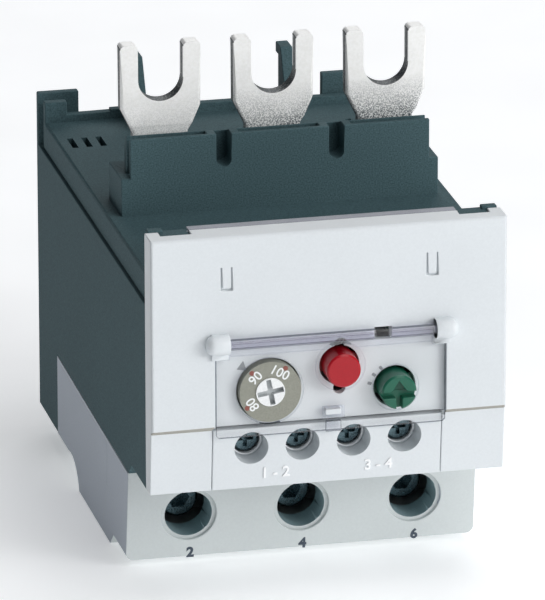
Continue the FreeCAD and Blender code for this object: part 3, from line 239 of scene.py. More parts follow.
def satin_polycarbonate():
    """Light grey polycarbonate blend, finely eroded: even and softly shining."""
    return moulded("satin_polycarbonate", colours().cover, 0.5, 0.012, 0.42, 0.02, 1.58)


def terminal_polycarbonate():
    """The same blend in a slightly greener grey, for the block with the load terminals."""
    return moulded("terminal_polycarbonate", colours().terminal_block, 0.5, 0.012, 0.45, 0.025, 1.58)


def flank_painted_shade_polycarbonate():
    """The same blend with a deeper grain, for the lower block's flanks: duller, and darker and bluer in
    colour, which is painted shade on the sides.
    """
    return moulded("flank_painted_shade_polycarbonate", linear("b4bcc6"), 0.5, 0.02, 0.6, 0.05, 1.5)


def step_painted_shade_polycarbonate():
    """The same blend in a dull beige grey, for the underside of the step across the plate: painted shade
    under the step.
    """
    return moulded("step_painted_shade_polycarbonate", linear("a3a199"), 0.5, 0.012, 0.6, 0.05, 1.5)


def painted_highlight_polycarbonate():
    """The same blend, glossier than the face and brighter as a painted highlight, for moulded figures and
    well collars.
    """
    return moulded("painted_highlight_polycarbonate", linear("fbfcfd"), 0.5, 0.004, 0.22, 0.01, 1.58)


def acetal(name, base):
    """Moulded acetal: waxy, saturated and nearly smooth."""
    return moulded(name, base, 0.8, 0.01, 0.3, 0.05, 1.48)


def natural_acetal():
    """Uncoloured acetal of the inner carriers: milky white, slightly waxy."""
    return moulded("natural_acetal", linear("dcdad0"), 0.8, 0.01, 0.38, 0.03, 1.48)


def dark_phenolic():
    """Pressed thermoset of the trip bars: brown-black with a fine mottle."""
    return moulded("dark_phenolic", linear("3b3a3c"), 0.4, 0.01, 0.45, 0.2, 1.6)


def dial_nylon():
    """Olive-grey nylon of the dial: matt, with a fine sandy mottle 0.25 mm wide."""
    return moulded("dial_nylon", colours().dial_ring, 0.25, 0.015, 0.6, 0.12, 1.53)


def pad_ink(name, hex_value):
    """Pad-printed ink: flat, with a slightly uneven coat 0.4 mm wide."""
    return moulded(name, linear(hex_value), 0.4, 0.004, 0.55, 0.06, 1.5)


def plated(name, base, roughness, grain_mm, contrast):
    """Plated or rolled metal: bright, with a crystalline mottle in colour, gloss and relief."""
    material, tree, place = opened(name)
    tone, grain = speckled_colour(tree, place, base, grain_mm, 1.0 - contrast, 1.0 + contrast * 0.4, 6.0)
    gloss = (roughness - 0.08, roughness + 0.12)
    return closed(material, tree, grained(tree, tone, grain, gloss, (0.35, 0.01), {"Metallic": 1.0}))


def zinc_plate():
    """Blue-passivated zinc on steel clamps: cool and bright, grain 0.3 mm."""
    return plated("zinc_plate", colours().zinc, 0.24, 0.3, 0.1)


def screw_steel_painted_shade():
    """Passivated steel of the screws in a deep blue-grey, which is painted shade of the wells and bores; it
    still mirrors a lamp, grain 0.3 mm.
    """
    return plated("screw_steel_painted_shade", colours().screw, 0.26, 0.3, 0.15)


def rolled_brass():
    """Rolled brass of the inner terminal plates: warm and bright."""
    return plated("rolled_brass", linear("c9a45c"), 0.28, 0.4, 0.1)


def drawn_spring_wire():
    """Drawn spring steel: grey, with a fine mottle 0.2 mm wide."""
    return plated("drawn_spring_wire", linear("9a9c9f"), 0.3, 0.2, 0.12)


def rolled_bimetal():
    """Rolled thermostatic bimetal: warm grey with a faint straw tint."""
    return plated("rolled_bimetal", linear("a59c8c"), 0.34, 0.5, 0.12)


def oxidised_ribbon():
    """Resistance ribbon after firing: dull grey-brown oxide."""
    return plated("oxidised_ribbon", linear("77706a"), 0.5, 0.4, 0.2)


def tinned_copper():
    """Tin plate on stamped copper: satin, with a fine grey frost whose share grows towards the neck, varies
    in patches and is smaller on the left fork. The frost's real grain of 0.1 mm is drawn 0.25 mm wide. The
    shader is kept nearly non-metallic, so that the tin stays white under the soft lamps."""
    material, tree, place = opened("tinned_copper")
    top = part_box("line_fork_2")[1].z
    tone, grain = speckled_colour(tree, place, colours().tin, 0.6, 0.96, 1.06, 5.0)
    spread = add(tree, "ShaderNodeSeparateXYZ", links={"Vector": place}).outputs
    low = add(tree, "ShaderNodeMapRange",
              {"From Min": top - 9.5 * MM, "From Max": top - 18 * MM, "To Min": 0.0, "To Max": 1.0},
              {"Value": spread["Z"]})
    left = add(tree, "ShaderNodeMapRange",
               {"From Min": -18 * MM, "From Max": -6 * MM, "To Min": 0.28, "To Max": 1.0},
               {"Value": spread["X"]})
    moved = add(tree, "ShaderNodeVectorMath", {"operation": "ADD", 1: (0.013, 0.0, 0.004)}, {0: place})
    patches = add(tree, "ShaderNodeTexNoise", {"Scale": 1000 / 13.0, "Detail": 1.0},
                  {"Vector": moved.outputs["Vector"]})
    drift = add(tree, "ShaderNodeMapRange", {"From Min": 0.2, "From Max": 0.5, "To Min": 0.5},
                {"Value": patches.outputs["Fac"]})
    uneven = add(tree, "ShaderNodeMath", {"operation": "MULTIPLY"},
                 {0: left.outputs["Result"], 1: drift.outputs["Result"]})
    amount = add(tree, "ShaderNodeMath", {"operation": "MULTIPLY"},
                 {0: low.outputs["Result"], 1: uneven.outputs["Value"]})
    frost = add(tree, "ShaderNodeTexNoise", {"Scale": 1000 / 0.25, "Detail": 2.0, "Roughness": 0.6},
                {"Vector": place})
    flecks = add(tree, "ShaderNodeMapRange", {"From Min": 0.43, "From Max": 0.56},
                 {"Value": frost.outputs["Fac"]})
    shade = add(tree, "ShaderNodeMath", {"operation": "MULTIPLY"},
                {0: flecks.outputs["Result"], 1: amount.outputs["Value"]})
    coloured = add(tree, "ShaderNodeMix", {"data_type": "RGBA", 7: rgba(linear("4c565c"))},
                   {0: shade.outputs["Value"], 6: tone})
    gloss = add(tree, "ShaderNodeMapRange", {"To Min": 0.3, "To Max": 0.46}, {"Value": grain})
    bump = add(tree, "ShaderNodeBump", {"Strength": 0.4, "Distance": 0.015 * MM},
               {"Height": frost.outputs["Fac"]})
    shader = add(tree, "ShaderNodeBsdfPrincipled", {"Metallic": 0.08},
                 {"Base Color": coloured.outputs[2], "Roughness": gloss.outputs["Result"],
                  "Normal": bump.outputs["Normal"]})
    return closed(material, tree, shader.outputs["BSDF"])


def sheared_edge():
    """Cut side of the stamped forks: torn by the punch, dark grey with bright flecks 0.35 mm wide."""
    material, tree, place = opened("sheared_edge")
    flecks = add(tree, "ShaderNodeTexNoise", {"Scale": 1000 / 0.35, "Detail": 3.0, "Roughness": 0.7},
                 {"Vector": place})
    ramp = add(tree, "ShaderNodeValToRGB", links={"Fac": flecks.outputs["Fac"]})
    ramp.color_ramp.elements[0].position = 0.52
    ramp.color_ramp.elements[0].color = rgba(linear("2f383c"))
    ramp.color_ramp.elements[1].position = 0.7
    ramp.color_ramp.elements[1].color = rgba(linear("a9adaa"))
    bump = add(tree, "ShaderNodeBump", {"Strength": 0.6, "Distance": 0.04 * MM},
               {"Height": flecks.outputs["Fac"]})
    shader = add(tree, "ShaderNodeBsdfPrincipled", {"Metallic": 0.5, "Roughness": 0.5},
                 {"Base Color": ramp.outputs["Color"], "Normal": bump.outputs["Normal"]})
    return closed(material, tree, shader.outputs["BSDF"])


def clear(name, tint, sheen, haze, roughness):
    """Clear polycarbonate: lets the parts behind show and adds the gloss of its polished face."""
    material, tree, place = opened(name)
    ripple = add(tree, "ShaderNodeTexNoise", {"Scale": 1000 / 9.0, "Detail": 1.0}, {"Vector": place})
    bump = add(tree, "ShaderNodeBump", {"Strength": 0.2, "Distance": 0.05 * MM},
               {"Height": ripple.outputs["Fac"]})
    through = add(tree, "ShaderNodeBsdfTransparent", {"Color": rgba(linear(tint))})
    body = add(tree, "ShaderNodeBsdfDiffuse", {"Color": rgba(linear("dfe3ea"))},
               {"Normal": bump.outputs["Normal"]})
    gloss = add(tree, "ShaderNodeBsdfGlossy", {"Roughness": roughness}, {"Normal": bump.outputs["Normal"]})
    misted = add(tree, "ShaderNodeMixShader", {"Fac": haze},
                 {1: through.outputs["BSDF"], 2: body.outputs["BSDF"]})
    shader = add(tree, "ShaderNodeMixShader", {"Fac": sheen},
                 {1: misted.outputs["Shader"], 2: gloss.outputs["BSDF"]})
    return closed(material, tree, shader.outputs["Shader"])


def clear_polycarbonate():
    """The window's clear sheet: polished, with a trace of haze."""
    return clear("clear_polycarbonate", "fefefe", 0.03, 0.01, 0.04)


def clear_polycarbonate_rim():
    """Cut edges of the clear sheet, which carry the light away and look grey. On the hinge bar's top and
    bottom faces it gives painted shade lines.
    """
    return clear("clear_polycarbonate_rim", "8d939b", 0.1, 0.1, 0.12)


def clear_polycarbonate_relief_and_highlight():
    """Thick ribs of the window: the same plastic, misted by its own moulded edges. On the hinge bar it paints
    a highlight band.
    """
    return clear("clear_polycarbonate_relief_and_highlight", "f6f7fb", 0.12, 0.06, 0.1)


def clear_polycarbonate_bar():
    """Hinge bar of the window: thick clear plastic, which bends the light and looks smoky."""
    return clear("clear_polycarbonate_bar", "e2e0e9", 0.1, 0.07, 0.1)


def opal_acrylic():
    """Opal acrylic of the light table: matt white, softly lit from below, with a faint even grain."""
    material, tree, place = opened("opal_acrylic")
    tone = speckled_colour(tree, place, colours().floor, 2.0, 0.995, 1.005)[0]
    glow = rgba(colours().floor)
    shader = add(tree, "ShaderNodeBsdfPrincipled",
                 {"IOR": 1.49, "Roughness": 0.9, "Emission Color": glow, "Emission Strength": 0.38},
                 {"Base Color": tone})
    return closed(material, tree, shader.outputs["BSDF"])


FINISHES = {make.__name__: make for make in (
    glass_filled_nylon, painted_sheen_nylon, bore_painted_shade_nylon, satin_polycarbonate, terminal_polycarbonate,
    flank_painted_shade_polycarbonate, step_painted_shade_polycarbonate, painted_highlight_polycarbonate, natural_acetal, dark_phenolic,
    dial_nylon, zinc_plate, screw_steel_painted_shade, rolled_brass, drawn_spring_wire, rolled_bimetal,
    oxidised_ribbon, tinned_copper, sheared_edge, clear_polycarbonate, clear_polycarbonate_rim,
    clear_polycarbonate_relief_and_highlight, clear_polycarbonate_bar, opal_acrylic)}
FINISHES.update({
    "red_acetal": lambda: acetal("red_acetal", colours().test_button),
    "green_acetal": lambda: acetal("green_acetal", colours().reset_button),
    "white_ink": lambda: pad_ink("white_ink", "eef0f0"),
    # A grey below the hub's white, for the dial hub's cross slot: painted shade in the slot.
    "slot_painted_shade_ink": lambda: pad_ink("slot_painted_shade_ink", "c6cacb"),
    "grey_ink": lambda: pad_ink("grey_ink", "8d9296"),
    "slate_ink": lambda: pad_ink("slate_ink", "3f4a57"),
    "russet_ink": lambda: pad_ink("russet_ink", "8c5148"),
})


def finish(name):
    """The material of that name, made when it is first asked for."""
    return bpy.data.materials.get(name) or FINISHES[name]()


# ---- meshes -------------------------------------------------------------------------
def new_piece(name, mesh, *finishes):
    piece = bpy.data.objects.new(name, mesh)
    bpy.context.scene.collection.objects.link(piece)
    for kind in finishes:
        piece.data.materials.append(finish(kind))
    return piece


def settle(piece, body, slot, *replaced):
    """Makes a finished piece ride on its body and hides the CAD nodes that it stands for."""
    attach(piece, body)
    if replaced:
        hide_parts(*replaced)


def merged_shell(node):
    """A CAD node's mesh with its doubled corners merged."""
    shell = bmesh.new()
    shell.from_mesh(NODES[node].data)
    bmesh.ops.remove_doubles(shell, verts=shell.verts, dist=MERGE)
    return shell


def mesh_of(name, shell):
    """Turns a shell into a mesh and frees the shell."""
    mesh = bpy.data.meshes.new(name)
    shell.to_mesh(mesh)
    shell.free()
    return mesh


def bake(piece):
    """Turns a piece and its modifiers into a plain mesh."""
    graph = bpy.context.evaluated_depsgraph_get()
    mesh = bpy.data.meshes.new_from_object(piece.evaluated_get(graph), depsgraph=graph)
    piece.modifiers.clear()
    piece.data = mesh
    return piece


def narrow(face, least):
    """True for a strip too thin to take a rounding on both of its long sides."""
    longest = max(edge.calc_length() for edge in face.edges)
    return face.calc_area() < longest * least


def level_broad_faces(mesh, broad):
    """Shades each broad face flat, up to the narrow roundings around it."""
    normals = [Vector(corner.vector) for corner in mesh.corner_normals]
    for face in mesh.polygons:
        corners = [mesh.vertices[k].co for k in face.vertices]
        longest = max((a - b).length for a, b in zip(corners, corners[1:] + corners[:1]))
        if face.area > longest * broad:
            for k in face.loop_indices:
                normals[k] = face.normal.copy()
    mesh.normals_split_custom_set(normals)


def weigh_edges(shell, radius, radius_of, broad):
    """Gives each outer corner that has room a rounding, marks the other corners sharp, and
    returns the widest radius. The weights are shares of it."""
    corner = math.radians(28)
    flat = math.radians(1.5)
    one_side, both_sides = 1.15, 2.3
    weight = shell.edges.layers.float.new("bevel_weight_edge")
    shell.edges.index_update()
    rounding = {}
    for edge in shell.edges:
        turn = edge.calc_face_angle(0.0) if len(edge.link_faces) == 2 else 0.0
        if turn < corner:
            edge.smooth = not (turn > flat and not any(narrow(face, broad) for face in edge.link_faces))
            continue
        own = radius_of(edge) if radius_of else radius
        room = (one_side if own > radius else both_sides) * own
        if own and edge.is_convex and not any(narrow(face, room) for face in edge.link_faces):
            rounding[edge.index] = own
        else:
            edge.smooth = False
    widest = max(rounding.values(), default=radius)
    for edge in shell.edges:
        edge[weight] = rounding.get(edge.index, 0.0) / widest
    return widest


def rounded_copy(node, name, radius, finishes, choose=None, radius_of=None, edge_finish=-1, cuts=()):
    """A merged copy of a CAD node with its outer corners rounded.
    choose gives a face its finish, and radius_of gives an edge a radius of its own, 0 for none.
    cuts are places along x where a face may change its finish."""
    broad = 4.0 * MM
    same_plane = math.radians(0.8)
    shell = merged_shell(node)
    bmesh.ops.dissolve_limit(shell, angle_limit=same_plane, verts=shell.verts, edges=shell.edges)
    for x in cuts:
        everything = shell.verts[:] + shell.edges[:] + shell.faces[:]
        bmesh.ops.bisect_plane(shell, geom=everything, dist=TOUCH, plane_co=(x, 0, 0), plane_no=(1, 0, 0))
    shell.normal_update()
    for face in shell.faces:
        face.smooth = True
        if choose:
            face.material_index = choose(face.calc_center_median(), face.normal)
    widest = weigh_edges(shell, radius, radius_of, broad)
    piece = new_piece(name, mesh_of(name, shell), *finishes)
    bevel = piece.modifiers.new("Edge", "BEVEL")
    bevel.width = widest
    bevel.segments = 2
    bevel.limit_method = "WEIGHT"
    bevel.use_clamp_overlap = False
    bevel.material = edge_finish
    bevel.face_strength_mode = "FSTR_ALL"
    level = piece.modifiers.new("Level", "WEIGHTED_NORMAL")
    level.use_face_influence = True
    level.keep_sharp = True
    bake(piece)
    level_broad_faces(piece.data, broad)
    return piece


def merged_copy(node, name, kind):
    """A merged copy of a CAD node, shaded smooth up to its real corners."""
    corner = math.radians(50)
    shell = merged_shell(node)
    for face in shell.faces:
        face.smooth = True
    for edge in shell.edges:
        edge.smooth = edge.calc_face_angle(0.0) < corner
    return new_piece(name, mesh_of(name, shell), kind)


def lathe(profile, sides, axis_point, axis, hollow=False):
    """A closed turned mesh: profile holds (distance along the axis, radius) pairs.
    A hollow one comes round to its first pair and stays faceted. Others are capped at both ends."""
    shell = bmesh.new()
    along = axis.normalized()
    across = along.orthogonal().normalized()
    spokes = [Matrix.Rotation(2 * math.pi * k / sides, 3, along) @ across for k in range(sides)]
    rings = []
    for distance, radius in profile:
        rings.append([shell.verts.new(axis_point + along * distance + spoke * radius) for spoke in spokes])
    last = rings[:1] if hollow else []
    for lower, upper in zip(rings, rings[1:] + last):
        for k in range(sides):
            shell.faces.new((lower[k], lower[(k + 1) % sides], upper[(k + 1) % sides], upper[k]))
    if not hollow:
        shell.faces.new(list(reversed(rings[0])))
        shell.faces.new(rings[-1])
    bmesh.ops.remove_doubles(shell, verts=shell.verts, dist=TOUCH)
    bmesh.ops.recalc_face_normals(shell, faces=shell.faces)
    for face in shell.faces:
        face.smooth = not hollow
    return shell


def prism(points, y, depth):
    """A closed flat plate in front of height y; points are (x, z) pairs."""
    shell = bmesh.new()
    front = [shell.verts.new((x, y - depth, z)) for x, z in points]
    back = [shell.verts.new((x, y, z)) for x, z in points]
    shell.faces.new(front)
    shell.faces.new(list(reversed(back)))
    count = len(points)
    for k in range(count):
        shell.faces.new((front[k], back[k], back[(k + 1) % count], front[(k + 1) % count]))
    bmesh.ops.recalc_face_normals(shell, faces=shell.faces)
    return shell


def new_group(name, shells, kind, body, slot):
    """Joins shells into one piece with one finish, and lets it ride on its body."""
    whole = bmesh.new()
    for shell in shells:
        part = mesh_of("part", shell)
        whole.from_mesh(part)
        bpy.data.meshes.remove(part)
    settle(new_piece(name, mesh_of(name, whole), kind), body, slot)


def figures(text, height, depth, at, turn=0.0, weight=0.0):
    """Raised figures that face the front, centred on a point and turned about it."""
    curve = bpy.data.curves.new("figures", "FONT")
    curve.body = text
    curve.size = 1.0
    curve.extrude = 0.5
    curve.offset = weight
    curve.resolution_u = 4
    holder = bpy.data.objects.new("figures", curve)
    bpy.context.scene.collection.objects.link(holder)
    graph = bpy.context.evaluated_depsgraph_get()
    mesh = bpy.data.meshes.new_from_object(holder.evaluated_get(graph), depsgraph=graph)
    bpy.data.objects.remove(holder)
    bpy.data.curves.remove(curve)
    shell = bmesh.new()
    shell.from_mesh(mesh)
    bpy.data.meshes.remove(mesh)
    xs = [vert.co.x for vert in shell.verts]
    ys = [vert.co.y for vert in shell.verts]
    scale = height / (max(ys) - min(ys))
    centre = Vector(((max(xs) + min(xs)) / 2, (max(ys) + min(ys)) / 2, 0.0))
    size = Matrix.Diagonal((scale, scale, depth, 1.0))
    upright = Matrix.Rotation(math.pi / 2, 4, "X")
    spin = Matrix.Rotation(-turn, 4, "Y")
    shell.transform(Matrix.Translation(at) @ spin @ upright @ size @ Matrix.Translation(-centre))
    bmesh.ops.remove_doubles(shell, verts=shell.verts, dist=TOUCH)
    bmesh.ops.recalc_face_normals(shell, faces=shell.faces)
    return shell


def figures_on(node, text, height, depth, x, z, weight=0.0):
    """Raised figures that lie on the front of a CAD node and lean with it."""
    face = front_surface(node, x, z)
    rise = 1 * MM
    lean = math.atan2(face - front_surface(node, x, z + rise), rise)
    at = Vector((x, face, z))
    shell = figures(text, height, depth * 2, at, 0.0, weight)
    shell.transform(Matrix.Translation(at) @ Matrix.Rotation(lean, 4, "X") @ Matrix.Translation(-at))
    return shell


# ---- geometry node trees ------------------------------------------------------------
def tree_with_inputs(name, inputs):
    tree = bpy.data.node_groups.new(name, "GeometryNodeTree")
    for label, kind in inputs:
        tree.interface.new_socket(label, in_out="INPUT", socket_type=kind)
    tree.interface.new_socket("Geometry", in_out="OUTPUT", socket_type="NodeSocketGeometry")
    return tree, add(tree, "NodeGroupInput").outputs


def finish_tree(tree, geometry, material):
    """Ends a tree in Realize Instances and Set Material."""
    solid = add(tree, "GeometryNodeRealizeInstances", links={"Geometry": geometry})
    dressed = add(tree, "GeometryNodeSetMaterial", links={"Geometry": solid.outputs[0], "Material": material})
    add(tree, "NodeGroupOutput", links={"Geometry": dressed.outputs[0]})
    return tree


def screw_thread_tree():
    """Thread ridges: one ring for each turn, spaced by the pitch along the screw."""
    tree, given = tree_with_inputs("Screw Thread", [
        ("Turns", "NodeSocketInt"), ("Pitch", "NodeSocketFloat"), ("Radius", "NodeSocketFloat"),
        ("Ridge", "NodeSocketFloat"), ("Start", "NodeSocketVector"), ("Material", "NodeSocketMaterial")])
    ring = add(tree, "GeometryNodeCurvePrimitiveCircle", {"Resolution": 28}, {"Radius": given["Radius"]})
    crest = add(tree, "GeometryNodeCurvePrimitiveCircle", {"Resolution": 4}, {"Radius": given["Ridge"]})
    swept = add(tree, "GeometryNodeCurveToMesh",
                links={"Curve": ring.outputs["Curve"], "Profile Curve": crest.outputs["Curve"]})
    turned = add(tree, "GeometryNodeTransform", {"Rotation": (math.pi / 2, 0.0, 0.0)},
                 {"Geometry": swept.outputs["Mesh"]})
    step = add(tree, "ShaderNodeCombineXYZ", links={"Y": given["Pitch"]})
    line = add(tree, "GeometryNodeMeshLine", {"mode": "OFFSET"},
               {"Count": given["Turns"], "Start Location": given["Start"], "Offset": step.outputs["Vector"]})
    rings = add(tree, "GeometryNodeInstanceOnPoints",
                links={"Points": line.outputs["Mesh"], "Instance": turned.outputs["Geometry"]})
    return finish_tree(tree, rings.outputs["Instances"], given["Material"])


def dash_arc_tree():
    """Printed dashes spaced along an arc around a control's centre."""
    tree, given = tree_with_inputs("Dash Arc", [
        ("Count", "NodeSocketInt"), ("Radius", "NodeSocketFloat"), ("Start Angle", "NodeSocketFloat"),
        ("Sweep", "NodeSocketFloat"), ("Dash Length", "NodeSocketFloat"), ("Dash Width", "NodeSocketFloat"),
        ("Height", "NodeSocketFloat"), ("Centre", "NodeSocketVector"), ("Material", "NodeSocketMaterial")])
    arc = add(tree, "GeometryNodeCurveArc", {"Resolution": 33},
              {"Radius": given["Radius"], "Start Angle": given["Start Angle"], "Sweep Angle": given["Sweep"]})
    spots = add(tree, "GeometryNodeCurveToPoints", {"mode": "COUNT"},
                {"Curve": arc.outputs["Curve"], "Count": given["Count"]})
    outline = add(tree, "GeometryNodeCurvePrimitiveQuadrilateral", {"mode": "RECTANGLE"},
                  {"Width": given["Dash Width"], "Height": given["Dash Length"]})
    corner = add(tree, "ShaderNodeMath", {"operation": "MULTIPLY", 1: 0.2}, {0: given["Dash Width"]})
    softened = add(tree, "GeometryNodeFilletCurve", {"mode": "POLY", "Count": 3},
                   {"Curve": outline.outputs["Curve"], "Radius": corner.outputs["Value"]})
    filled = add(tree, "GeometryNodeFillCurve", {"mode": "NGONS"}, {"Curve": softened.outputs["Curve"]})
    raised = add(tree, "GeometryNodeExtrudeMesh", {"Individual": False},
                 {"Mesh": filled.outputs["Mesh"], "Offset Scale": given["Height"]})
    base = add(tree, "GeometryNodeFlipFaces", links={"Mesh": filled.outputs["Mesh"]})
    plate = add(tree, "GeometryNodeJoinGeometry", links={"Geometry": raised.outputs["Mesh"]})
    tree.links.new(base.outputs["Mesh"], plate.inputs["Geometry"])
    whole = add(tree, "GeometryNodeMergeByDistance", {"Distance": TOUCH},
                {"Geometry": plate.outputs["Geometry"]})
    along = add(tree, "FunctionNodeAlignRotationToVector", {"axis": "Y", "pivot_axis": "Z"},
                {"Vector": spots.outputs["Tangent"]})
    dashes = add(tree, "GeometryNodeInstanceOnPoints",
                 links={"Points": spots.outputs["Points"], "Instance": whole.outputs["Geometry"],
                        "Rotation": along.outputs["Rotation"]})
    upright = add(tree, "GeometryNodeTransform", {"Rotation": (math.pi / 2, 0.0, 0.0)},
                  {"Geometry": dashes.outputs["Instances"], "Translation": given["Centre"]})
    return finish_tree(tree, upright.outputs["Geometry"], given["Material"])


def grow(name, tree, values):
    """A plain mesh grown by a tree; each input is set through its socket's identifier."""
    piece = new_piece(name, bpy.data.meshes.new(name))
    modifier = piece.modifiers.new(tree.name, "NODES")
    modifier.node_group = tree
    for item in tree.interface.items_tree:
        if item.item_type == "SOCKET" and item.in_out == "INPUT":
            modifier[item.identifier] = values[item.name]
    return bake(piece)


# ---- operators ----------------------------------------------------------------------
class RELAY_OT_housings(bpy.types.Operator):
    """Round the edges of the dark base and lid"""
    bl_idname = "relay.housings"
    bl_label = "Housings"

    def execute(self, context):
        radius = sizes().moulding_edge
        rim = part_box("front_cover")[1].z - 1.0 * MM
        clip = 26.5 * MM
        lid_top = 67.0 * MM

        # The lid's up-facing strip just behind the plate takes the paler nylon: a painted sheen.
        def painted_sheen_strip(place, normal):
            behind_plate = PLATE_BACK - 0.1 * MM < place.y < PLATE_BACK + 2.5 * MM
            return 1 if behind_plate and place.z > rim and normal.z > 0.9 and abs(place.x) < clip else 0

        def radius_of(edge):
            on_lid = max(abs(vert.co.z - lid_top) for vert in edge.verts) < 0.2 * MM
            return 0.0 if on_lid else radius

        for node in ("base_housing", "top_housing"):
            piece = rounded_copy(node, node + "_moulding", radius, ["glass_filled_nylon", "painted_sheen_nylon"],
                                 painted_sheen_strip, radius_of, cuts=(-clip, clip))
            settle(piece, "case", "housing", node)
        return {"FINISHED"}


class RELAY_OT_front_plate(bpy.types.Operator):
    """Round the front plate and give its hinge bosses domed ends"""
    bl_idname = "relay.front_plate"
    bl_label = "Front plate"

    def execute(self, context):
        low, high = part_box("window_cover")
        middle_x = (low.x + high.x) / 2
        axis_z = high.z - 0.95 * MM
        step_z = 36.8 * MM
        bosses = 3.0 * MM
        radius = sizes().moulding_edge

        def radius_of(edge):
            first, second = (vert.co for vert in edge.verts)
            spot = (first + second) / 2
            level = abs(first.z - second.z) < 0.01 * MM
            if level and abs(spot.z - step_z) < 0.1 * MM and spot.y < FACE_Y + 0.1 * MM:
                return sizes().step_edge
            on_bosses = abs(spot.z - axis_z) < bosses and spot.y < FACE_Y + 2 * MM
            return 0.0 if on_bosses else radius

        # Faces under the step beside the window take the beige grey: painted shade under the step.
        def painted_step_shade(place, normal):
            by_step = abs(place.z - step_z) < 0.6 * MM and place.y < FACE_Y + 0.8 * MM
            beside_window = abs(place.x) > (high.x - low.x) / 2
            return 1 if by_step and beside_window and normal.z < -0.2 else 0

        plate = rounded_copy("front_cover", "front_plate", radius,
                             ["satin_polycarbonate", "step_painted_shade_polycarbonate"], radius_of=radius_of)
        for face in plate.data.polygons:
            face.material_index = painted_step_shade(face.center, face.normal)
        settle(plate, "case", "cover", "front_cover")

        boss = 1.94 * MM
        reach = 4.45 * MM
        dome = 1.5 * MM
        steps = 7
        profile = [(0.0, boss * 0.97), (0.12 * MM, boss)]
        for k in range(steps + 1):
            turn = k / steps * math.pi / 2
            profile.append((reach - dome + dome * math.sin(turn), boss - dome + dome * math.cos(turn)))
        domes = []
        for side in (-1, 1):
            start = Vector((middle_x + side * 20.3 * MM, FACE_Y - 1.0 * MM, axis_z))
            domes.append(lathe(profile, 32, start, Vector((side, 0, 0))))

        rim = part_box("front_cover")[1].z
        half = 26.3 * MM
        bottom, top = rim - 0.32 * MM, rim - 0.05 * MM
        outline = [(-half, bottom), (half, bottom), (half, top), (-half, top)]
        strip = prism(outline, PLATE_BACK + 2.3 * MM, 2.2 * MM)
        # A thin strip under the plate's rim, in the nylon with the painted sheen.
        new_group("flange_rim", [strip], "painted_sheen_nylon", "case", "housing")
        new_group("hinge_boss_domes", domes, "satin_polycarbonate", "case", "cover")
        return {"FINISHED"}


class RELAY_OT_terminal_blocks(bpy.types.Operator):
    """Round the lower block and the auxiliary terminal block"""
    bl_idname = "relay.terminal_blocks"
    bl_label = "Terminal blocks"

    def execute(self, context):
        screws = [middle(f"load_screw_{k}") for k in (1, 2, 3)]
        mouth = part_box("terminal_shroud")[0].y
        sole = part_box("terminal_shroud")[0].z + 0.4 * MM
        bore_radius = 5.0 * MM
        flank = screws[2].x + bore_radius
        radius = sizes().moulding_edge

        def painted_shade_faces(place, normal):
            # Side faces of the block take the darker, bluer blend: painted shade on the flanks.
            if abs(normal.x) > 0.9 and abs(place.x) > flank:
                return 2
            # Walls of the bores take the darker grey-green: painted shade inside the bores.
            inside = any(math.hypot(place.x - at.x, place.z - at.z) < bore_radius for at in screws)
            return 1 if inside and (abs(normal.y) < 0.5 or place.y > mouth + 3 * MM) else 0

        def radius_of(edge):
            first, second = (vert.co for vert in edge.verts)
            on_sole = max(first.z, second.z) < sole
            on_flank = max(abs(first.x), abs(second.x)) > flank + 3.0 * MM
            behind = min(first.y, second.y) > mouth + 1.0 * MM
            return 0.0 if on_sole or (on_flank and behind) else radius

        finishes = ["terminal_polycarbonate", "bore_painted_shade_nylon", "flank_painted_shade_polycarbonate"]
        for node in ("terminal_shroud", "load_terminal_housing"):
            piece = rounded_copy(node, node + "_moulding", radius, finishes, painted_shade_faces, radius_of)
            settle(piece, "case", "terminal_cover", node)
        node = "auxiliary_terminal_block"
        piece = rounded_copy(node, node + "_moulding", radius, ["satin_polycarbonate"])
        settle(piece, "case", "cover", node)

        outer, inner, depth, raised = 3.04 * MM, 2.8 * MM, 0.6 * MM, 0.9 * MM
        profile = [(0.0, outer), (0.0, inner), (depth, inner), (depth, outer)]
        collars = []
        for k in (1, 2, 3, 4):
            at = middle(f"aux_screw_{k}")
            start = Vector((at.x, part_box(f"aux_screw_{k}")[0].y - raised, at.z))
            collars.append(lathe(profile, 36, start, Vector((0, 1, 0)), hollow=True))
        # The collars' bright ring is a painted highlight on the wells' ledge.
        new_group("well_collars", collars, "painted_highlight_polycarbonate", "case", "cover")
        return {"FINISHED"}


class RELAY_OT_line_forks(bpy.types.Operator):
    """Plate the three forks: tin on the faces, torn metal on the cut sides"""
    bl_idname = "relay.line_forks"
    bl_label = "Line forks"

    def execute(self, context):
        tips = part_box("line_fork_2")[1].z - 0.5 * MM

        def cut_side(centre, normal):
            return 0 if abs(normal.y) > 0.7 or centre.z > tips else 1

        for k in (1, 2, 3):
            node = f"line_fork_{k}"
            piece = rounded_copy(node, node + "_blade", sizes().fork_edge,
                                 ["tinned_copper", "sheared_edge"], cut_side, edge_finish=0)
            settle(piece, "case", "tinned", node)
        return {"FINISHED"}


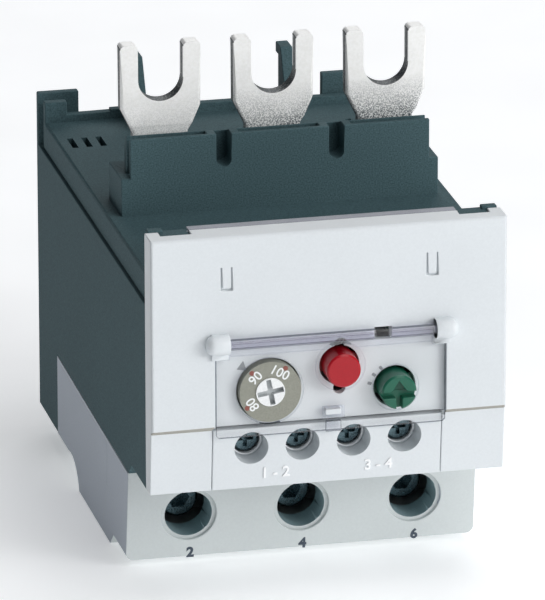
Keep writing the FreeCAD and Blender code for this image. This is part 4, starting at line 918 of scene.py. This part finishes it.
class RELAY_OT_window(bpy.types.Operator):
    """Make the hinged window clear, with misted ribs and grey rims, and with a painted highlight band and
    painted shade lines on the hinge bar
    """
    bl_idname = "relay.window"
    bl_label = "Window"

    def execute(self, context):
        low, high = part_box("window_cover")
        sheet_top = high.z - 2.6 * MM
        front = FACE_Y - 0.1 * MM
        middle_x = (low.x + high.x) / 2
        reach = (high.x - low.x) / 2 - 1.0 * MM
        highlight_band = (high.z - 1.4 * MM, high.z - 0.8 * MM)
        flat_top = high.z - 1.85 * MM
        trip = (8.75 * MM, 12.0 * MM)

        def part(centre, normal):
            if centre.z > sheet_top:
                if trip[0] < centre.x < trip[1]:
                    return 0
                # The bar's top and bottom faces take the grey rim finish: painted shade lines along the bar.
                if abs(normal.z) > 0.8:
                    return 1
                # A band along the bar takes the misted ribs' finish: a painted highlight.
                return 2 if centre.z < flat_top or highlight_band[0] < centre.z < highlight_band[1] else 3
            if abs(normal.y) > 0.5:
                return 2 if centre.y < front else 0
            hole = abs(centre.x - middle_x) < reach and low.z + 2.5 * MM < centre.z < sheet_top - 0.5 * MM
            return 2 if hole else 1

        window = rounded_copy("window_cover", "window_pane", 0.1 * MM,
                              ["clear_polycarbonate", "clear_polycarbonate_rim", "clear_polycarbonate_relief_and_highlight",
                               "clear_polycarbonate_bar"], part, cuts=trip)
        settle(window, "window", "clear", "window_cover")
        return {"FINISHED"}


class RELAY_OT_dial(bpy.types.Operator):
    """Build the current dial with its scale numbers and marks"""
    bl_idname = "relay.dial"
    bl_label = "Current dial"

    def execute(self, context):
        centre = middle("current_dial")
        hub = 2.9 * MM

        def part(place, normal):
            if place.y < FACE_Y - 0.35 * MM:
                return 1
            inside = math.hypot(place.x - centre.x, place.z - centre.z) < hub
            # The floor of the hub's cross slot takes the grey: painted shade in the slot.
            return 2 if inside and place.y > FACE_Y - 0.25 * MM else 0

        dial = rounded_copy("current_dial", "dial_moulding", 0.12 * MM,
                            ["dial_nylon", "white_ink", "slot_painted_shade_ink"], part)
        settle(dial, "setting_dial", "dial", "current_dial")
        height = sizes().ink_height
        ring_y = FACE_Y - 0.3 * MM
        number_ring = 4.25 * MM
        dot_ring = 5.45 * MM

        def around(ring, turn, y):
            return Vector((centre.x + ring * math.cos(turn), y, centre.z + ring * math.sin(turn)))

        numbers = []
        for text, angle in (("80", 213), ("90", 134), ("100", 61)):
            turn = math.radians(angle)
            at = around(number_ring, turn, ring_y - height / 2)
            numbers.append(figures(text, sizes().dial_digit, height, at, turn - math.pi / 2, 0.012))
        new_group("dial_numbers", numbers, "white_ink", "setting_dial", "dial")
        profile = [(0.0, 0.5 * MM), (height * 0.7, 0.48 * MM), (height, 0.4 * MM)]
        dots = [lathe(profile, 20, around(dot_ring, math.radians(angle), ring_y), Vector((0, -1, 0)))
                for angle in (213, 132, 57)]
        new_group("dial_dots", dots, "russet_ink", "setting_dial", "dial")
        return {"FINISHED"}


class RELAY_OT_buttons(bpy.types.Operator):
    """Round the test and reset buttons"""
    bl_idname = "relay.buttons"
    bl_label = "Buttons"

    def execute(self, context):
        for node, kind, slot in (("test_button", "red_acetal", "red"),
                                 ("reset_button", "green_acetal", "green")):
            piece = rounded_copy(node, node + "_cap", sizes().button_edge, [kind])
            settle(piece, body_of(node), slot, node)
        return {"FINISHED"}


class RELAY_OT_markings(bpy.types.Operator):
    """Print the pointer, the selector's dashes and the plain terminal numbers"""
    bl_idname = "relay.markings"
    bl_label = "Markings"

    def execute(self, context):
        ink = sizes().ink_height
        dial = middle("current_dial")
        # The pointer's corners from the dial's centre, in millimetres.
        corners = [(-5.0, 6.2), (-6.3, 4.5), (-4.3, 4.1)]
        face = front_surface("front_cover", dial.x + corners[1][0] * MM, dial.z + corners[1][1] * MM)
        pointer = prism([(dial.x + x * MM, dial.z + z * MM) for x, z in corners], face, ink)
        new_group("dial_pointer", [pointer], "grey_ink", "case", "cover")

        reset = middle("reset_button")
        face = front_surface("front_cover", reset.x - 5.2 * MM, reset.z + 1.6 * MM)
        dashes = grow("selector_dashes", dash_arc_tree(), {
            "Count": 3, "Radius": 5.4 * MM, "Start Angle": math.radians(123), "Sweep": math.radians(40),
            "Dash Length": 0.6 * MM, "Dash Width": 0.85 * MM, "Height": ink,
            "Centre": (reset.x + 0.25 * MM, face, reset.z - 0.7 * MM), "Material": finish("grey_ink")})
        settle(dashes, "case", "cover")

        print_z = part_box("terminal_shroud")[0].z + 2.6 * MM
        shells = [figures_on("terminal_shroud", text, sizes().terminal_digit, ink,
                             middle(f"load_screw_{k}").x + 0.4 * MM, print_z, 0.045)
                  for k, text in ((1, "2"), (2, "4"), (3, "6"))]
        new_group("load_terminal_numbers", shells, "slate_ink", "case", "terminal_cover")

        relief_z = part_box("auxiliary_terminal_block")[0].z + 3.0 * MM
        shells = []
        for first, text in ((1, "1 - 2"), (3, "3 - 4")):
            x = (middle(f"aux_screw_{first}").x + middle(f"aux_screw_{first + 1}").x) / 2
            shells.append(figures_on("auxiliary_terminal_block", text, sizes().relief_digit,
                                     sizes().relief_height, x, relief_z, 0.012))
        # The moulded numbers are brighter than the block: a painted highlight.
        new_group("auxiliary_numbers", shells, "painted_highlight_polycarbonate", "case", "cover")
        return {"FINISHED"}


class RELAY_OT_screws(bpy.types.Operator):
    """Add threads to the terminal screws"""
    bl_idname = "relay.screws"
    bl_label = "Screws"

    def execute(self, context):
        tree = screw_thread_tree()
        ridge = 0.17 * MM
        sunk = 0.1 * MM
        # Thread radius, pitch, number of turns and distance of the first turn from the head's face.
        kinds = [(f"load_screw_{k}", 3.95, 1.25, 10, 3.5) for k in (1, 2, 3)]
        kinds += [(f"aux_screw_{k}", 1.45, 0.5, 12, 2.9) for k in (1, 2, 3, 4)]
        for node, radius, pitch, turns, start in kinds:
            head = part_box(node)[0].y
            spot = middle(node)
            thread = grow(node + "_thread", tree, {
                "Turns": turns, "Pitch": pitch * MM, "Radius": radius * MM - sunk, "Ridge": ridge,
                "Start": (spot.x, head + start * MM, spot.z), "Material": finish("screw_steel_painted_shade")})
            settle(thread, body_of(node), "steel")
        return {"FINISHED"}


class RELAY_OT_springs(bpy.types.Operator):
    """Make smooth copies of the return springs, each riding on its own body"""
    bl_idname = "relay.springs"
    bl_label = "Springs"

    def execute(self, context):
        for node, driver in (("test_spring", "test_push"), ("reset_spring", "reset_push"),
                             ("carrier_spring", "carrier_slide")):
            coil = merged_copy(node, node + "_coil", "drawn_spring_wire")
            settle(coil, body_of(node), "spring_steel", node)
            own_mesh(coil)
        return {"FINISHED"}


class RELAY_OT_inner_parts(bpy.types.Operator):
    """Give every CAD part the finish of its kind"""
    bl_idname = "relay.inner_parts"
    bl_label = "Inner parts"

    def execute(self, context):
        kinds = {
            # The screws' deep blue-grey is painted shade of the wells and bores.
            "screw_steel_painted_shade": ["load_screw", "aux_screw"],
            "zinc_plate": ["aux_clamp", "clamp_frame", "pressure_plate", "lever_pin"],
            "rolled_brass": ["terminal_strips"],
            "tinned_copper": ["load_busbar"],
            "drawn_spring_wire": ["test_spring", "reset_spring", "carrier_spring", "nc_contact_strip",
                                  "no_contact_strip"],
            "rolled_bimetal": ["bimetal", "compensating_strip"],
            "oxidised_ribbon": ["heater"],
            "dark_phenolic": ["overload_bar", "phase_loss_bar", "differential_lever", "mechanism_frame"],
            "green_acetal": ["trip_indicator"],
            "natural_acetal": ["contact_carrier", "trip_lever", "setting_lever", "dial_cam", "reset_sleeve"],
        }
        dressed = {node: kind for kind, starts in kinds.items() for start in starts
                   for node in NODES if node.startswith(start)}
        for node, part in NODES.items():
            material = finish(dressed.get(node, "natural_acetal"))
            if not part.material_slots:
                part.data.materials.append(material)
            for holder in part.material_slots:
                holder.material = material
        return {"FINISHED"}


class RELAY_OT_stage(bpy.types.Operator):
    """Set the floor, the soft lights and the camera"""
    bl_idname = "relay.stage"
    bl_label = "Stage"

    def execute(self, context):
        scene = context.scene
        scene.view_settings.view_transform = "Standard"
        half = 6.0  # of the floor's side, in metres
        aim = Vector((0, 0, 0.05))
        mesh = bpy.data.meshes.new("light_table")
        mesh.from_pydata([(-half, -half, 0), (half, -half, 0), (half, half, 0), (-half, half, 0)], [],
                         [(0, 1, 2, 3)])
        floor = new_piece("light_table", mesh, "opal_acrylic")

        world = bpy.data.worlds.new("studio_air")
        world.use_nodes = True
        tree = world.node_tree
        tree.nodes.clear()
        air = add(tree, "ShaderNodeBackground", {"Color": rgba(linear("e9effa")), "Strength": 0.1})
        add(tree, "ShaderNodeOutputWorld", links={"Surface": air.outputs["Background"]})
        scene.world = world

        for name, place, size, power in (("key_softbox", (0.55, -1.45, 1.0), 0.9, 6.5),
                                         ("right_softbox", (1.1, -1.0, 0.45), 0.7, 11.0),
                                         ("top_softbox", (0.4, -0.3, 1.5), 1.0, 7.5),
                                         ("rear_softbox", (0.3, 1.3, 0.9), 1.0, 6.5)):
            lamp = bpy.data.lights.new(name, "AREA")
            lamp.size = size
            lamp.energy = power
            holder = bpy.data.objects.new(name, lamp)
            holder.location = place
            holder.rotation_euler = (aim - Vector(place)).to_track_quat("-Z", "Y").to_euler()
            scene.collection.objects.link(holder)

        camera = bpy.data.cameras.new("product_camera")
        camera.lens = 480.26
        camera.sensor_width = 36.0
        camera.clip_start = 0.05
        camera.clip_end = 50.0
        holder = bpy.data.objects.new("product_camera", camera)
        holder.location = (-0.33657, -1.46088, 0.55997)
        holder.rotation_euler = [math.radians(angle) for angle in (70.988, 0.071, -13.0381)]
        scene.collection.objects.link(holder)
        scene.camera = holder
        return {"FINISHED"}


STEPS = (
    RELAY_OT_inner_parts, RELAY_OT_housings, RELAY_OT_front_plate, RELAY_OT_terminal_blocks,
    RELAY_OT_line_forks, RELAY_OT_screws, RELAY_OT_springs, RELAY_OT_dial, RELAY_OT_buttons,
    RELAY_OT_markings, RELAY_OT_window, RELAY_OT_stage,
)


class RELAY_PT_panel(bpy.types.Panel):
    """Builds the relay's pieces and holds their sizes and colours"""
    bl_label = "Thermal Overload Relay"
    bl_idname = "RELAY_PT_panel"
    bl_space_type = "VIEW_3D"
    bl_region_type = "UI"
    bl_category = "Relay"

    def draw(self, context):
        layout = self.layout
        for group in (context.scene.relay_sizes, context.scene.relay_colours):
            box = layout.box()
            for name in group.__annotations__:
                box.prop(group, name)
        for step in STEPS:
            layout.operator(step.bl_idname)


CLASSES = (RelaySizes, RelayColours) + STEPS + (RELAY_PT_panel,)


def register():
    for kind in CLASSES:
        bpy.utils.register_class(kind)
    bpy.types.Scene.relay_sizes = bpy.props.PointerProperty(type=RelaySizes)
    bpy.types.Scene.relay_colours = bpy.props.PointerProperty(type=RelayColours)


def unregister():
    del bpy.types.Scene.relay_colours
    del bpy.types.Scene.relay_sizes
    for kind in reversed(CLASSES):
        bpy.utils.unregister_class(kind)


def main():
    register()
    for step in STEPS:
        group, name = step.bl_idname.split(".")
        getattr(getattr(bpy.ops, group), name)()


if __name__ == "__main__":
    main()
